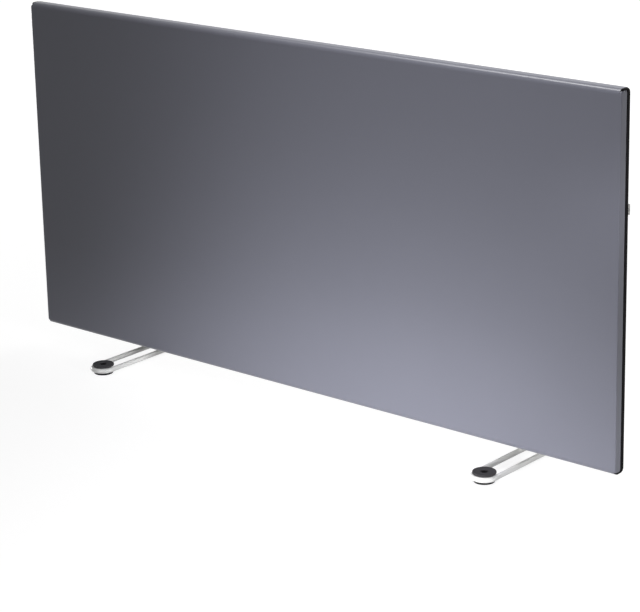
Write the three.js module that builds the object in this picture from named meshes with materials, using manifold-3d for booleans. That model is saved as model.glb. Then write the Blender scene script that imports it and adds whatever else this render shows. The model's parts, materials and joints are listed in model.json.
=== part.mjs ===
// A slim electric convector heater on two wire feet. A shallow metal front panel with rolled long edges
// hides a narrower sheet-steel shell, in which air rises past a finned element from lower to upper slots.
// Millimetres, +Z up, the front faces -Y. The origin is on the floor, under the middle of the heater.
import * as THREE from "three";
import { mergeVertices } from "three/addons/utils/BufferGeometryUtils.js";
import Module from "manifold-3d";

const wasm = await Module();
wasm.setup();

// Overall sizes
const panelLength = 770;
const panelHeight = 370;
const bodyDepth = 52;
const floorGap = 24;

// Clearances and cutting
const seatGap = 0.3;
const holeClearance = 0.3;
const cutOverrun = 1;
const weldDistance = 0.001;

// Turns, in degrees
const quarterTurn = 90;
const halfTurn = 180;
const fullTurn = 360;

// Front panel: one sheet with both long edges rolled back, turned in again as lips
const frontSheet = 1.5;
const frontRoll = 5.5;
const frontDepth = 15;
const lipRoll = 3;
const lipHeight = 12;

// End caps and side frames that close the two short ends of the front panel
const endThickness = 2.5;
const capDepth = 9.8;
const capInset = 1.4;
const capFrontCorner = 4;
const capRearCorner = 2.4;
const capEdge = 1.2;
const capTongue = 10;
const capTongueWall = 2;
const frameEdge = 0.6;
const frameWeb = 1.5;
const frameCorner = 5;
const frameWebReach = 6;

// Rear shell, its air slots and its stiffening beads
const shellSheet = 1.2;
const shellInset = 12;
const shellEndInset = 26;
const shellBend = 4;
const flangeHeight = 8;
const flangeBend = 1.5;
const slotPitch = 22;
const slotFromEnd = 70;
const slotWidth = 9;
const slotLength = 28;
const beadFromEnd = 105;
const beadWidth = 12;
const beadRise = 1.5;
const beadsBelowTop = [198, 118];

// Baffle plate behind the front panel
const baffleSheet = 0.8;
const baffleSetback = 3;
const baffleEndGap = 8.5;

// End cheeks of the shell
const cheekThickness = 3.2;
const cheekTongue = 7;
const cheekTongueWall = 1.6;
const cheekCorner = 1.5;
const cheekEdge = 0.8;

// Hanger plates with keyholes for wall screws
const hangerWidth = 50;
const hangerHeight = 46;
const hangerThickness = 4;
const hangerCorner = 4;
const hangerFromEnd = 185;
const hangerBelowTop = 66;
const keyEntryRadius = 6.5;
const keySlotWidth = 6.4;
const keySlotRise = 15;
const keyholeRoom = 3;

// Screws through the shell's flanges into the front panel's lips
const frontScrewFromEnd = 105;
const frontScrewShank = 3;
const frontScrewHead = 6.4;
const frontScrewHeadHeight = 2;
const frontScrewReach = 6;

// Finned heating element
const elementFromEnd = 100;
const elementAboveBottom = 86;
const finSpan = 28;
const finThickness = 1.6;
const finHubRadius = 5.2;
const rodDiameter = 6;
const rodClearance = 0.3;
const rodOverhang = 20;
const rodPin = 8;
const rodPinDiameter = 3;

// Ceramic bushes and the brackets that carry the element
const bushRadius = 5.6;
const bushLength = 8;
const bushFlangeRadius = 8;
const bushFlange = 2;
const bracketSheet = 1.2;
const bracketHeight = 50;
const bracketFlange = 14;
const bracketBend = 2;
const bracketFrontGap = 4;

// Overheat cut-out on its plate
const cutoutFromEnd = 265;
const cutoutBelowTop = 162;
const cutoutRadius = 8.5;
const cutoutThickness = 7;
const cutoutRimRadius = 10.5;
const cutoutRim = 1.5;
const cutoutPlateWidth = 44;
const cutoutPlateHeight = 26;
const cutoutPlateThickness = 1;
const cutoutBlade = 0.8;
const cutoutBladeWidth = 6.3;
const cutoutBladeReach = 7;

// Control fascia on the right cheek; the controls' places are shares of its height, from its top down
const fasciaThickness = 1.5;
const fasciaWidth = 30;
const fasciaHeight = 100;
const fasciaCorner = 4;
const fasciaEdge = 0.4;
const fasciaCentreDepth = 35.4;
const fasciaBelowTop = 159;
const windowMargin = 2;

// Mains rocker switch
const rockerDepth = 39.5;
const rockerPlaceShare = 0.145;
const rockerLength = 13;
const rockerWidth = 10.2;
const rockerEndRise = 6.3;
const rockerMidRise = 4.9;
const rockerUnder = 1;
const rockerCorner = 0.8;
const rockerTilt = 8;
const rockerSideGap = 0.3;
const rockerEndGap = 0.8;
const rockerFloorGap = 1.3;
const rockerPinRadius = 0.9;
const rockerPinReach = 0.8;
const rockerPinClearance = 0.2;
const switchWall = 1.2;
const bezelRim = 0.8;
const bezelThickness = 1;
const bezelEdge = 0.25;

// Push buttons and display
const buttonRadius = 3.5;
const buttonRise = 1;
const buttonCrown = 0.4;
const buttonFlangeRadius = 4.7;
const buttonFlange = 1;
const buttonStemRadius = 1.7;
const buttonPlaceShares = [0.59, 0.72, 0.85];
const buttonClearance = 0.3;
const buttonTravel = 0.8;
const buttonDepth = 34;
const displayWidth = 12;
const displayHeight = 18;
const displayPlaceShare = 0.4;
const displayCorner = 1.5;
const displayThickness = 1.2;

// Circuit board and what is on it
const boardThickness = 1.6;
const boardWidth = 30;
const boardHeight = 150;
const boardSetback = 10.5;
const boardBelowFascia = 1;
const postRadius = 2.2;
const postInset = 3;
const tactSize = 6;
const tactHeight = 3.5;
const tactPlay = 0.1;
const relayWidth = 15;
const relayHeight = 19;
const relayThickness = 16;
const relayBelowBoardTop = 22;
const supplyWidth = 22;
const supplyHeight = 30;
const supplyThickness = 18;
const supplyBelowBoardTop = 64;
const terminalWidth = 22;
const terminalHeight = 12;
const terminalThickness = 14;
const terminalAboveBoardBottom = 16;
const terminalBore = 3.2;
const terminalBoreDepth = 6;

// Room sensor pod under the shell, cable gland in its back
const podLength = 20;
const podWidth = 14;
const podDrop = 8;
const podFromEnd = 67;
const podCorner = 3;
const podWall = 1.5;
const podWireHole = 6;
const podSlotWidth = 1.4;
const podSlotPitch = 3.2;
const podSlotCount = 4;
const glandFromEnd = 73;
const glandAboveBottom = 48;
const glandBore = 4.2;
const glandTube = 6.8;
const glandFlange = 11;
const glandFlangeThickness = 3;
const glandNose = 8;
const glandNoseLength = 7;
const glandInside = 9;
const glandNutRadius = 10.4;
const glandNutThickness = 4;
const nutFlats = 6;

// Wire feet: a closed loop of round rod on four rubber pads, carried by a folded bracket
const footFromEnd = 125;
const footReach = 36;
const footRod = 5.5;
const footRodPitch = 23;
const footBracketSheet = 3;
const footBracketWidth = 34;
const footBracketFront = 39;
const footBracketAboveBottom = 124;
const footBracketBend = 6;
const footScrewsAboveBottom = [54, 104];
const footScrewShank = 4.6;
const footScrewHead = 9;
const footScrewHeadHeight = 2.8;
const footScrewReach = 8;

// Rubber pads of the feet
const padRadius = 10.6;
const padThickness = 2.4;
const padEdge = 0.6;
const padCapRadius = 11.8;
const padCapThickness = 2;
const padCapEdge = 0.6;
const padDish = 0.4;
const padScrewHead = 2.7;
const padScrewHeadHeight = 0.7;
const padScrewShank = 1.6;
const padScrewSink = 0.5;
const padScrewReach = 5;
const padSocket = 1.5;
const padSocketDepth = 0.5;

// Internal wires
const wireDiameter = 2.6;
const wireBackDepth = 26;
const wireAboveBottom = 32;
const wireTurn = 14;
const wireDropShares = [1 / 6, 1 / 2, 11 / 12];

// Screw heads, as shares of each screw's own head
const screwCrownShare = 0.6;
const screwEdgeShare = 0.45;
const screwSlotShare = 0.55;
const screwSlotWidthShare = 0.14;
const screwSlotDepthShare = 0.5;
const chamferShare = 0.06;

// Smoothness of round forms
const foldSteps = 5;
const edgeSteps = 2;
const postSteps = 10;
const screwSteps = 12;
const roundSteps = 16;
const slotEndSteps = 2;
const loopBendSteps = 10;
const loopSides = 10;
const wireSides = 6;
const wireSteps = 18;

// Planes that the sizes above set
const yFront = -bodyDepth / 2;
const yBack = bodyDepth / 2;
const zBottom = floorGap;
const zTop = floorGap + panelHeight;
const xEnd = panelLength / 2;
const xSheetEnd = xEnd - endThickness;
const yFrontRear = yFront + frontDepth;
const shellTop = zTop - shellInset;
const shellBottom = zBottom + shellInset;
const yFlangeFront = yFrontRear + seatGap;
const yBackInside = yBack - shellSheet;
const xCheek = xEnd - shellEndInset;
const xCheekInside = xCheek - cheekThickness;
const xShellEnd = xCheekInside - seatGap;
const yBaffle = yFlangeFront + baffleSetback;
const yAir = (yBaffle + baffleSheet + yBackInside) / 2;
const xFascia = xCheek + seatGap + fasciaThickness;
const xBoard = xCheekInside - boardSetback;
const xBoardBack = xBoard - boardThickness;
const yRocker = yFront + rockerDepth;
const yButton = yFront + buttonDepth;
const yFascia = yFront + fasciaCentreDepth;
const yBoard = yFascia - seatGap;
const zFascia = zTop - fasciaBelowTop;
const fasciaTop = zFascia + fasciaHeight / 2;
const zRocker = fasciaTop - fasciaHeight * rockerPlaceShare;
const zDisplay = fasciaTop - fasciaHeight * displayPlaceShare;
const boardBottom = zFascia - fasciaHeight / 2 - boardBelowFascia;
const boardTop = boardBottom + boardHeight;
const zBoard = boardBottom + boardHeight / 2;
const zTerminal = boardBottom + terminalAboveBoardBottom;
const zElement = zBottom + elementAboveBottom;
const zGland = zBottom + glandAboveBottom;
const zWire = zBottom + wireAboveBottom;
const footScrewHeights = footScrewsAboveBottom.map((rise) => zBottom + rise);
const xFoot = xEnd - footFromEnd;
const xPod = xEnd - podFromEnd;
const xGland = xEnd - glandFromEnd;
const slotCount = Math.floor((2 * (xEnd - slotFromEnd)) / slotPitch);
const flangeScrewHeight = shellInset - flangeHeight / 2;

// Turns a three.js geometry into a solid for cutting and joining
function solidOf(geometry) {
  const bare = geometry.clone();
  bare.deleteAttribute("normal");
  bare.deleteAttribute("uv");
  const merged = mergeVertices(bare, weldDistance);
  const vertProperties = new Float32Array(merged.attributes.position.array);
  const triVerts = new Uint32Array(merged.index.array);
  return new wasm.Manifold(new wasm.Mesh({ numProp: 3, vertProperties, triVerts }));
}

// Turns a finished solid back into a geometry
function geometryOf(solid) {
  const { vertProperties, triVerts } = solid.getMesh();
  const geometry = new THREE.BufferGeometry();
  geometry.setAttribute("position", new THREE.BufferAttribute(new Float32Array(vertProperties), 3));
  geometry.setIndex(new THREE.BufferAttribute(new Uint32Array(triVerts), 1));
  return geometry;
}

function join(...geometries) {
  return geometryOf(geometries.map(solidOf).reduce((sum, next) => sum.add(next)));
}

function cut(body, ...tools) {
  return geometryOf(tools.map(solidOf).reduce((rest, tool) => rest.subtract(tool), solidOf(body)));
}

function common(first, second) {
  return geometryOf(solidOf(first).intersect(solidOf(second)));
}

// Points along an arc, from one angle to another in degrees
function arc(cx, cy, radius, from, to, steps) {
  const points = [];
  for (let i = 0; i <= steps; i += 1) {
    const angle = THREE.MathUtils.degToRad(from + ((to - from) * i) / steps);
    points.push(new THREE.Vector2(cx + radius * Math.cos(angle), cy + radius * Math.sin(angle)));
  }
  return points;
}

function circle(cx, cy, radius, steps = roundSteps) {
  return arc(cx, cy, radius, 0, fullTurn, steps).slice(0, steps);
}

// A rectangle between two corners, each of its four corners with its own radius, anticlockwise from low left
function rectangle(x0, y0, x1, y1, radii = [0, 0, 0, 0], steps = foldSteps) {
  const centres = [[x0, y0, 1, 1], [x1, y0, -1, 1], [x1, y1, -1, -1], [x0, y1, 1, -1]];
  return centres.flatMap(([x, y, sx, sy], i) => {
    const radius = radii[i];
    if (radius === 0) {
      return [new THREE.Vector2(x, y)];
    }
    const start = halfTurn + quarterTurn * i;
    return arc(x + sx * radius, y + sy * radius, radius, start, start + quarterTurn, steps);
  });
}

function roundRectangle(cx, cy, width, height, radius, steps = foldSteps) {
  const halfWidth = width / 2;
  const halfHeight = height / 2;
  const radii = [radius, radius, radius, radius];
  return rectangle(cx - halfWidth, cy - halfHeight, cx + halfWidth, cy + halfHeight, radii, steps);
}

// The section of a folded sheet: straight runs through the given corners, each bend with its own radius,
// all measured on the middle of the sheet
function sheetSection(corners, radii, thickness) {
  const left = [];
  const right = [];
  const addPair = (point, normal) => {
    left.push(point.clone().addScaledVector(normal, thickness / 2));
    right.unshift(point.clone().addScaledVector(normal, -thickness / 2));
  };
  const normalOf = (a, b) => {
    const run = b.clone().sub(a).normalize();
    return new THREE.Vector2(-run.y, run.x);
  };
  const points = corners.map(([x, y]) => new THREE.Vector2(x, y));
  addPair(points[0], normalOf(points[0], points[1]));
  for (let i = 1; i < points.length - 1; i += 1) {
    const radius = radii[i - 1];
    const before = normalOf(points[i - 1], points[i]);
    const after = normalOf(points[i], points[i + 1]);
    const turn = Math.sign(before.cross(after));
    const inner = before.clone().add(after).multiplyScalar((turn * radius) / (1 + before.dot(after)));
    const centre = points[i].clone().add(inner);
    for (let step = 0; step <= foldSteps; step += 1) {
      const sweep = Math.acos(before.dot(after)) * turn * (step / foldSteps);
      const normal = before.clone().rotateAround(new THREE.Vector2(0, 0), sweep);
      addPair(centre.clone().addScaledVector(normal, -turn * radius), normal);
    }
  }
  const last = points.length - 1;
  addPair(points[last], normalOf(points[last - 1], points[last]));
  return [...left, ...right];
}

function extrusion(outline, holes, length) {
  const shape = new THREE.Shape(outline);
  shape.holes = holes.map((hole) => new THREE.Path(hole));
  return new THREE.ExtrudeGeometry(shape, { depth: length, bevelEnabled: false });
}

// Outline in y and z, run from one x to another
function alongX(outline, from, to, holes = []) {
  const geometry = extrusion(outline, holes, to - from);
  return geometry.rotateX(Math.PI / 2).rotateZ(Math.PI / 2).translate(from, 0, 0);
}

// Outline in x and z, run from one y to another
function alongY(outline, from, to, holes = []) {
  return extrusion(outline, holes, to - from).rotateX(Math.PI / 2).translate(0, to, 0);
}

// Like alongX, with a rounded edge at both ends
function alongXSoft(outline, from, to, edge, holes = [], steps = edgeSteps) {
  const shape = new THREE.Shape(outline);
  shape.holes = holes.map((hole) => new THREE.Path(hole));
  const options = {
    depth: to - from - 2 * edge,
    bevelEnabled: true,
    bevelThickness: edge,
    bevelSize: edge,
    bevelOffset: -edge,
    bevelSegments: steps,
  };
  const geometry = new THREE.ExtrudeGeometry(shape, options);
  return geometry.rotateX(Math.PI / 2).rotateZ(Math.PI / 2).translate(from + edge, 0, 0);
}

// Like alongX, with a rounded edge at the far end alone
function alongXCapped(outline, from, to, edge) {
  const soft = alongXSoft(outline, from - edge, to, edge, [], foldSteps);
  const size = new THREE.Box3().setFromBufferAttribute(soft.attributes.position);
  const spare = cutOverrun + edge;
  return cut(soft, block(from - spare, size.min.y - spare, size.min.z - spare, from, size.max.y + spare,
    size.max.z + spare));
}

// Outline in x and y, run from one z to another
function alongZ(outline, from, to, holes = []) {
  return extrusion(outline, holes, to - from).translate(0, 0, from);
}

function block(x0, y0, z0, x1, y1, z1) {
  const box = new THREE.BoxGeometry(x1 - x0, y1 - y0, z1 - z0);
  return box.translate((x0 + x1) / 2, (y0 + y1) / 2, (z0 + z1) / 2);
}

// A turned piece: its section is a closed list of radius and height pairs, and it stands along z
function turned(section, steps = roundSteps) {
  const points = section.map(([radius, height]) => new THREE.Vector2(radius, height));
  return new THREE.LatheGeometry(points, steps).rotateX(Math.PI / 2);
}

function finish(color, roughness, metalness) {
  return new THREE.MeshStandardMaterial({ color, roughness, metalness });
}

const finishes = {
  frontPaint: () => finish(0x7c7e88, 0.38, 0.55),
  blackTrim: () => finish(0x17171a, 0.5, 0),
  whitePaint: () => finish(0xe6e6e4, 0.5, 0),
  whitePlastic: () => finish(0xe9e8e4, 0.45, 0),
  zincSteel: () => finish(0xa9adb0, 0.45, 0.9),
  aluminium: () => finish(0xb9bcbf, 0.4, 0.9),
  steelTube: () => finish(0x8b8a86, 0.35, 0.9),
  ceramic: () => finish(0xe8e1d2, 0.6, 0),
  blackPlastic: () => finish(0x1c1d20, 0.5, 0),
  clearGlass: () => finish(0x101418, 0.12, 0),
  board: () => finish(0x1f5a3a, 0.5, 0),
  greyButton: () => finish(0x8e9298, 0.5, 0),
  rubber: () => finish(0x2b2b2d, 0.85, 0),
  padTop: () => finish(0x3a3a3d, 0.6, 0),
  whiteWire: () => finish(0xd9d6cf, 0.6, 0),
};

const heater = new THREE.Group();

// Adds one named piece to a group, at a place in it
function add(group, name, geometry, material, x = 0, y = 0, z = 0) {
  geometry.computeVertexNormals();
  const mesh = new THREE.Mesh(geometry, material);
  mesh.name = name;
  mesh.position.set(x, y, z);
  group.add(mesh);
  return mesh;
}

const sides = [["left", -1], ["right", 1]];

// Front panel, with holes in its lips for the four screws
function frontPanel() {
  const half = frontSheet / 2;
  const corners = [
    [yFrontRear - half, zTop - lipHeight],
    [yFrontRear - half, zTop - half],
    [yFront + half, zTop - half],
    [yFront + half, zBottom + half],
    [yFrontRear - half, zBottom + half],
    [yFrontRear - half, zBottom + lipHeight],
  ];
  const radii = [lipRoll - half, frontRoll - half, frontRoll - half, lipRoll - half];
  const sheet = alongX(sheetSection(corners, radii, frontSheet), -xSheetEnd, xSheetEnd);
  const radius = frontScrewShank / 2 + holeClearance;
  const holes = frontScrewPlaces().map(([x, z]) =>
    alongY(circle(x, z, radius), yFrontRear - lipRoll, yFrontRear + cutOverrun));
  return cut(sheet, ...holes);
}

function frontScrewPlaces() {
  const x = xEnd - frontScrewFromEnd;
  const high = zTop - flangeScrewHeight;
  const low = zBottom + flangeScrewHeight;
  return [[-x, high], [x, high], [-x, low], [x, low]];
}

add(heater, "front_panel", frontPanel(), finishes.frontPaint());

// The panel's outline at its ends between two depths, drawn in by a margin
function endOutline(margin, fromDepth, toDepth, frontRadius, rearRadius) {
  const radii = [frontRadius, rearRadius, rearRadius, frontRadius];
  return rectangle(yFront + fromDepth, zBottom + margin, yFront + toDepth, zTop - margin, radii);
}

// End cap: a plate over the front of the panel's end, and a hollow tongue that plugs into the folded sheet
function endCap() {
  const inset = frontSheet + seatGap;
  const inner = inset + capTongueWall;
  const plateBack = xSheetEnd + seatGap;
  const tongueEnd = xSheetEnd - capTongue;
  const outline = endOutline(capInset + seatGap, 0, capDepth, capFrontCorner, capRearCorner);
  const plate = alongXCapped(outline, plateBack, xEnd, capEdge);
  const root = endOutline(capInset + 2 * seatGap, seatGap, capDepth - seatGap, capFrontCorner - seatGap,
    capRearCorner - seatGap);
  const plug = endOutline(inset, inset, capDepth, frontRoll - inset, 0);
  const tongue = common(alongX(plug, tongueEnd, (plateBack + xEnd) / 2), alongX(root, tongueEnd, xEnd));
  const hollow = alongX(endOutline(inner, inner, frontDepth, 0, 0), tongueEnd - cutOverrun, xSheetEnd);
  return cut(join(plate, tongue), hollow);
}

// Side frame: the end's outline round the cap, with a web that closes the hollow between the panel's lips
function sideFrame() {
  const stripBack = xSheetEnd + seatGap;
  const outline = endOutline(0, 0, frontDepth, frontRoll, frameCorner);
  const plate = alongXCapped(outline, stripBack, xEnd, frameEdge);
  const notchOutline = endOutline(capInset, -cutOverrun, capDepth + seatGap, 0, capRearCorner + seatGap);
  const strip = cut(plate, alongX(notchOutline, stripBack - cutOverrun, xEnd + cutOverrun));
  const low = zBottom + lipHeight + seatGap;
  const high = zTop - lipHeight - seatGap;
  const webEnd = xCheek - frameWebReach;
  const web = block(webEnd, yFrontRear - frameWeb, low, (stripBack + xEnd) / 2, yFrontRear, high);
  return join(strip, web);
}

// A piece made for the right side, mirrored to the left where the sign is negative
function onSide(geometry, sign) {
  if (sign > 0) {
    return geometry;
  }
  const mirrored = geometry.clone().applyMatrix4(new THREE.Matrix4().makeScale(-1, 1, 1));
  const index = mirrored.index.array;
  for (let i = 0; i < index.length; i += 3) {
    [index[i], index[i + 1]] = [index[i + 1], index[i]];
  }
  return mirrored;
}

for (const [side, sign] of sides) {
  add(heater, `${side}_end_cap`, onSide(endCap(), sign), finishes.frontPaint());
  add(heater, `${side}_side_frame`, onSide(sideFrame(), sign), finishes.blackTrim());
}

function hangerPlaces() {
  const z = zTop - hangerBelowTop;
  return sides.map(([side, sign]) => [side, sign * (xEnd - hangerFromEnd), z]);
}

function footScrewPlaces() {
  return sides.flatMap(([side, sign]) => footScrewHeights.map((z) => [side, sign * xFoot, z]));
}

// Keyhole: a round entry with a narrow slot above it, both drawn larger by a margin
function keyhole(x, z, margin) {
  const neck = keySlotWidth / 2 + margin;
  const radius = keyEntryRadius + margin;
  const shoulder = THREE.MathUtils.radToDeg(Math.asin(neck / radius));
  return [
    ...arc(x, z, radius, quarterTurn + shoulder, fullTurn + quarterTurn - shoulder, roundSteps),
    ...arc(x, z + keySlotRise, neck, 0, halfTurn, foldSteps),
  ];
}

// Rear shell: one folded sheet, with flanges turned up and down behind the panel's lips
function rearShell() {
  const half = shellSheet / 2;
  const corners = [
    [yFlangeFront + half, shellTop + flangeHeight],
    [yFlangeFront + half, shellTop - half],
    [yBack - half, shellTop - half],
    [yBack - half, shellBottom + half],
    [yFlangeFront + half, shellBottom + half],
    [yFlangeFront + half, shellBottom - flangeHeight],
  ];
  const radii = [flangeBend, shellBend - half, shellBend - half, flangeBend];
  const sheet = alongX(sheetSection(corners, radii, shellSheet), -xShellEnd, xShellEnd);
  const beadHeights = beadsBelowTop.map((drop) => zTop - drop);
  const ribs = beadHeights.map((z) => bead(z, yBackInside - beadRise, yBack - half, beadWidth));
  const grooveWidth = beadWidth - 2 * shellSheet;
  const grooves = beadHeights.map((z) => bead(z, yBack - beadRise, yBack + cutOverrun, grooveWidth));
  const cuts = [...grooves, ...airSlots(), ...backHoles(), ...flangeHoles()];
  return cut(join(sheet, ...ribs), ...cuts);
}

function bead(z, from, to, width) {
  const outline = roundRectangle(0, z, 2 * (xEnd - beadFromEnd) + width, width, width / 2, foldSteps);
  return alongY(outline, from, to);
}

// Air slots across the top and the bottom of the shell
function airSlots() {
  const y = (yFlangeFront + yBack) / 2;
  const walls = [shellTop - shellSheet, shellBottom];
  const columns = Array.from({ length: slotCount }, (_, i) => (i - (slotCount - 1) / 2) * slotPitch);
  return walls.flatMap((wall) => columns.map((x) => {
    const outline = roundRectangle(x, y, slotWidth, slotLength, slotWidth / 2, slotEndSteps);
    return alongZ(outline, wall - cutOverrun, wall + shellSheet + cutOverrun);
  }));
}

function backHoles() {
  const from = yBackInside - beadRise - cutOverrun;
  const to = yBack + cutOverrun;
  const keyholes = hangerPlaces().map(([, x, z]) => alongY(keyhole(x, z, keyholeRoom), from, to));
  const screwHole = footScrewShank / 2 + holeClearance;
  const screws = footScrewPlaces().map(([, x, z]) => alongY(circle(x, z, screwHole), from, to));
  const gland = alongY(circle(xGland, zGland, glandTube + holeClearance), from, to);
  const sensorHole = circle(xPod, yAir, podWireHole / 2);
  const sensor = alongZ(sensorHole, shellBottom - cutOverrun, shellBottom + shellBend);
  return [...keyholes, ...screws, gland, sensor];
}

function flangeHoles() {
  const radius = frontScrewShank / 2 + holeClearance;
  return frontScrewPlaces().map(([x, z]) =>
    alongY(circle(x, z, radius), yFlangeFront - cutOverrun, yFlangeFront + shellSheet + cutOverrun));
}

add(heater, "rear_shell", rearShell(), finishes.whitePaint());

// Baffle plate that keeps the hot air off the front panel
const baffleHalf = xShellEnd - baffleEndGap;
const baffleLow = shellBottom + shellSheet + seatGap;
const baffleHigh = shellTop - shellSheet - seatGap;
const baffle = block(-baffleHalf, yBaffle, baffleLow, baffleHalf, yBaffle + baffleSheet, baffleHigh);
add(heater, "baffle_plate", baffle, finishes.zincSteel());

// The shell's section drawn in by a margin, for the cheeks that close its ends
function shellOutline(margin) {
  const rear = shellBend - margin;
  const radii = [cheekCorner, rear, rear, cheekCorner];
  return rectangle(yFlangeFront + margin, shellBottom + margin, yBack - margin, shellTop - margin, radii);
}

// End cheek: a plate over the end of the shell, with a hollow tongue inside it
function cheek() {
  const margin = shellSheet + seatGap;
  const plate = alongXSoft(shellOutline(0), xCheekInside, xCheek, cheekEdge);
  const tongueFrom = xCheekInside - cheekTongue;
  const tongue = alongX(shellOutline(margin), tongueFrom, xCheekInside + cheekThickness / 2);
  const hollowOutline = rectangle(
    yFlangeFront + margin + cheekTongueWall,
    shellBottom + margin + cheekTongueWall,
    yBack - margin - cheekTongueWall,
    shellTop - margin - cheekTongueWall,
  );
  const hollow = alongX(hollowOutline, tongueFrom - cutOverrun, xCheekInside);
  return cut(join(plate, tongue), hollow);
}

function boardPostPlaces() {
  const y = boardWidth / 2 - postInset;
  const z = boardHeight / 2 - postInset;
  return [[-1, -1], [1, -1], [1, 1], [-1, 1]].map(([sy, sz]) => [yBoard + sy * y, zBoard + sz * z]);
}

// The right cheek also has a window for the controls and four posts for the circuit board
function controlCheek() {
  const posts = boardPostPlaces().map(([y, z]) =>
    alongX(circle(y, z, postRadius, postSteps), xBoard + seatGap, xCheekInside + cheekThickness / 2));
  const width = fasciaWidth - 2 * windowMargin;
  const height = fasciaHeight - 2 * windowMargin;
  const outline = roundRectangle(yFascia, zFascia, width, height, windowMargin);
  const opening = alongX(outline, xCheekInside - cutOverrun, xCheek + cutOverrun);
  return cut(join(cheek(), ...posts), opening);
}

add(heater, "left_cheek", onSide(cheek(), -1), finishes.whitePlastic());
add(heater, "right_cheek", controlCheek(), finishes.whitePlastic());

// Hanger plates on the back, each with a keyhole
for (const [side, x, z] of hangerPlaces()) {
  const outline = roundRectangle(0, 0, hangerWidth, hangerHeight, hangerCorner, foldSteps);
  const plate = alongY(outline, 0, hangerThickness, [keyhole(0, 0, 0)]);
  add(heater, `${side}_hanger_plate`, plate, finishes.zincSteel(), x, yBack + seatGap, z);
}

// A pan-head screw that points forward, its head resting behind y = 0
function panScrew(headRadius, headHeight, shankRadius, reach) {
  const crown = headRadius * screwCrownShare;
  const edge = headHeight * screwEdgeShare;
  const section = [[0, -reach], [shankRadius, -reach], [shankRadius, 0], [headRadius, 0], [headRadius, edge],
    [crown, headHeight], [0, headHeight]];
  const body = turned(section, screwSteps).rotateX(-Math.PI / 2);
  const wide = headRadius * screwSlotShare;
  const thin = headRadius * screwSlotWidthShare;
  const deep = headHeight * screwSlotDepthShare;
  const slots = [[wide, thin], [thin, wide]].map(([x, z]) =>
    block(-x, headHeight - deep, -z, x, headHeight + cutOverrun, z));
  return cut(body, ...slots);
}

frontScrewPlaces().forEach(([x, z], i) => {
  const head = frontScrewHead / 2;
  const screw = panScrew(head, frontScrewHeadHeight, frontScrewShank / 2, frontScrewReach);
  const y = yFlangeFront + shellSheet + seatGap;
  add(heater, `front_screw_${i + 1}`, screw, finishes.zincSteel(), x, y, z);
});

// Heating element: an aluminium extrusion of eight fins round a hub, with the sheathed rod through it
const elementEnd = xEnd - elementFromEnd;
const rodRadius = rodDiameter / 2;
const rodEnd = elementEnd + rodOverhang;
const pinEnd = rodEnd + rodPin;

function fins() {
  const half = finSpan / 2;
  const thick = finThickness / 2;
  const diagonal = Math.hypot(half, half);
  const finLengths = [half, diagonal, half, diagonal];
  const hub = alongX(circle(yAir, zElement, finHubRadius), -elementEnd, elementEnd);
  const crossed = finLengths.map((reach, i) => {
    const fin = block(-elementEnd, -reach, -thick, elementEnd, reach, thick);
    return fin.rotateX((Math.PI / finLengths.length) * i).translate(0, yAir, zElement);
  });
  const bore = alongX(circle(yAir, zElement, rodRadius + rodClearance), -elementEnd - cutOverrun,
    elementEnd + cutOverrun);
  return cut(join(hub, ...crossed), bore);
}

add(heater, "heating_element", fins(), finishes.aluminium());

const rod = alongX(circle(yAir, zElement, rodRadius), -rodEnd, rodEnd);
const rodPins = alongX(circle(yAir, zElement, rodPinDiameter / 2), -pinEnd, pinEnd);
add(heater, "heating_rod", join(rod, rodPins), finishes.steelTube());

const bushInner = rodRadius + rodClearance;
const bracketNear = elementEnd + seatGap + bushFlange + seatGap;

// Bush: a flange against the fins and a barrel through the bracket, turned about the rod
function bush() {
  const end = bushFlange + bushLength;
  const section = [[bushInner, 0], [bushFlangeRadius, 0], [bushFlangeRadius, bushFlange],
    [bushRadius, bushFlange], [bushRadius, end], [bushInner, end], [bushInner, 0]];
  return turned(section).rotateY(Math.PI / 2);
}

// Bracket: a plate across the shell, with a foot folded along the shell's back
function elementBracket() {
  const half = bracketSheet / 2;
  const footY = yBackInside - seatGap - half;
  const corners = [
    [bracketNear + half, yBaffle + baffleSheet + bracketFrontGap],
    [bracketNear + half, footY],
    [bracketNear + half + bracketFlange, footY],
  ];
  const low = zElement - bracketHeight / 2;
  const plate = alongZ(sheetSection(corners, [bracketBend], bracketSheet), low, low + bracketHeight);
  const hole = alongX(circle(yAir, zElement, bushRadius + seatGap), bracketNear - cutOverrun,
    bracketNear + bracketSheet + cutOverrun);
  return cut(plate, hole);
}

for (const [side, sign] of sides) {
  const bushGeometry = bush().translate(elementEnd + seatGap, yAir, zElement);
  add(heater, `${side}_element_bush`, onSide(bushGeometry, sign), finishes.ceramic());
  add(heater, `${side}_element_bracket`, onSide(elementBracket(), sign), finishes.zincSteel());
}

// Overheat cut-out: a plate on the shell's back that carries the round switch
const xCutout = xEnd - cutoutFromEnd;
const zCutout = zTop - cutoutBelowTop;
const cutoutPlateFront = yBackInside - seatGap - cutoutPlateThickness;
const cutoutOutline = roundRectangle(0, 0, cutoutPlateWidth, cutoutPlateHeight, cutoutPlateThickness);
const cutoutPlate = alongY(cutoutOutline, 0, cutoutPlateThickness);
add(heater, "cutout_plate", cutoutPlate, finishes.zincSteel(), xCutout, cutoutPlateFront, zCutout);
const cutoutSection = [[0, 0], [cutoutRimRadius, 0], [cutoutRimRadius, cutoutRim], [cutoutRadius, cutoutRim],
  [cutoutRadius, cutoutThickness], [0, cutoutThickness]];
const cutoutBody = turned(cutoutSection).rotateX(Math.PI / 2);
const bladeSpots = [-cutoutRadius / 2, cutoutRadius / 2];
const blades = bladeSpots.map((x) => block(x - cutoutBlade / 2, -cutoutThickness - cutoutBladeReach,
  -cutoutBladeWidth / 2, x + cutoutBlade / 2, -cutoutThickness / 2, cutoutBladeWidth / 2));
const cutoutGeometry = join(cutoutBody, ...blades);
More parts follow.
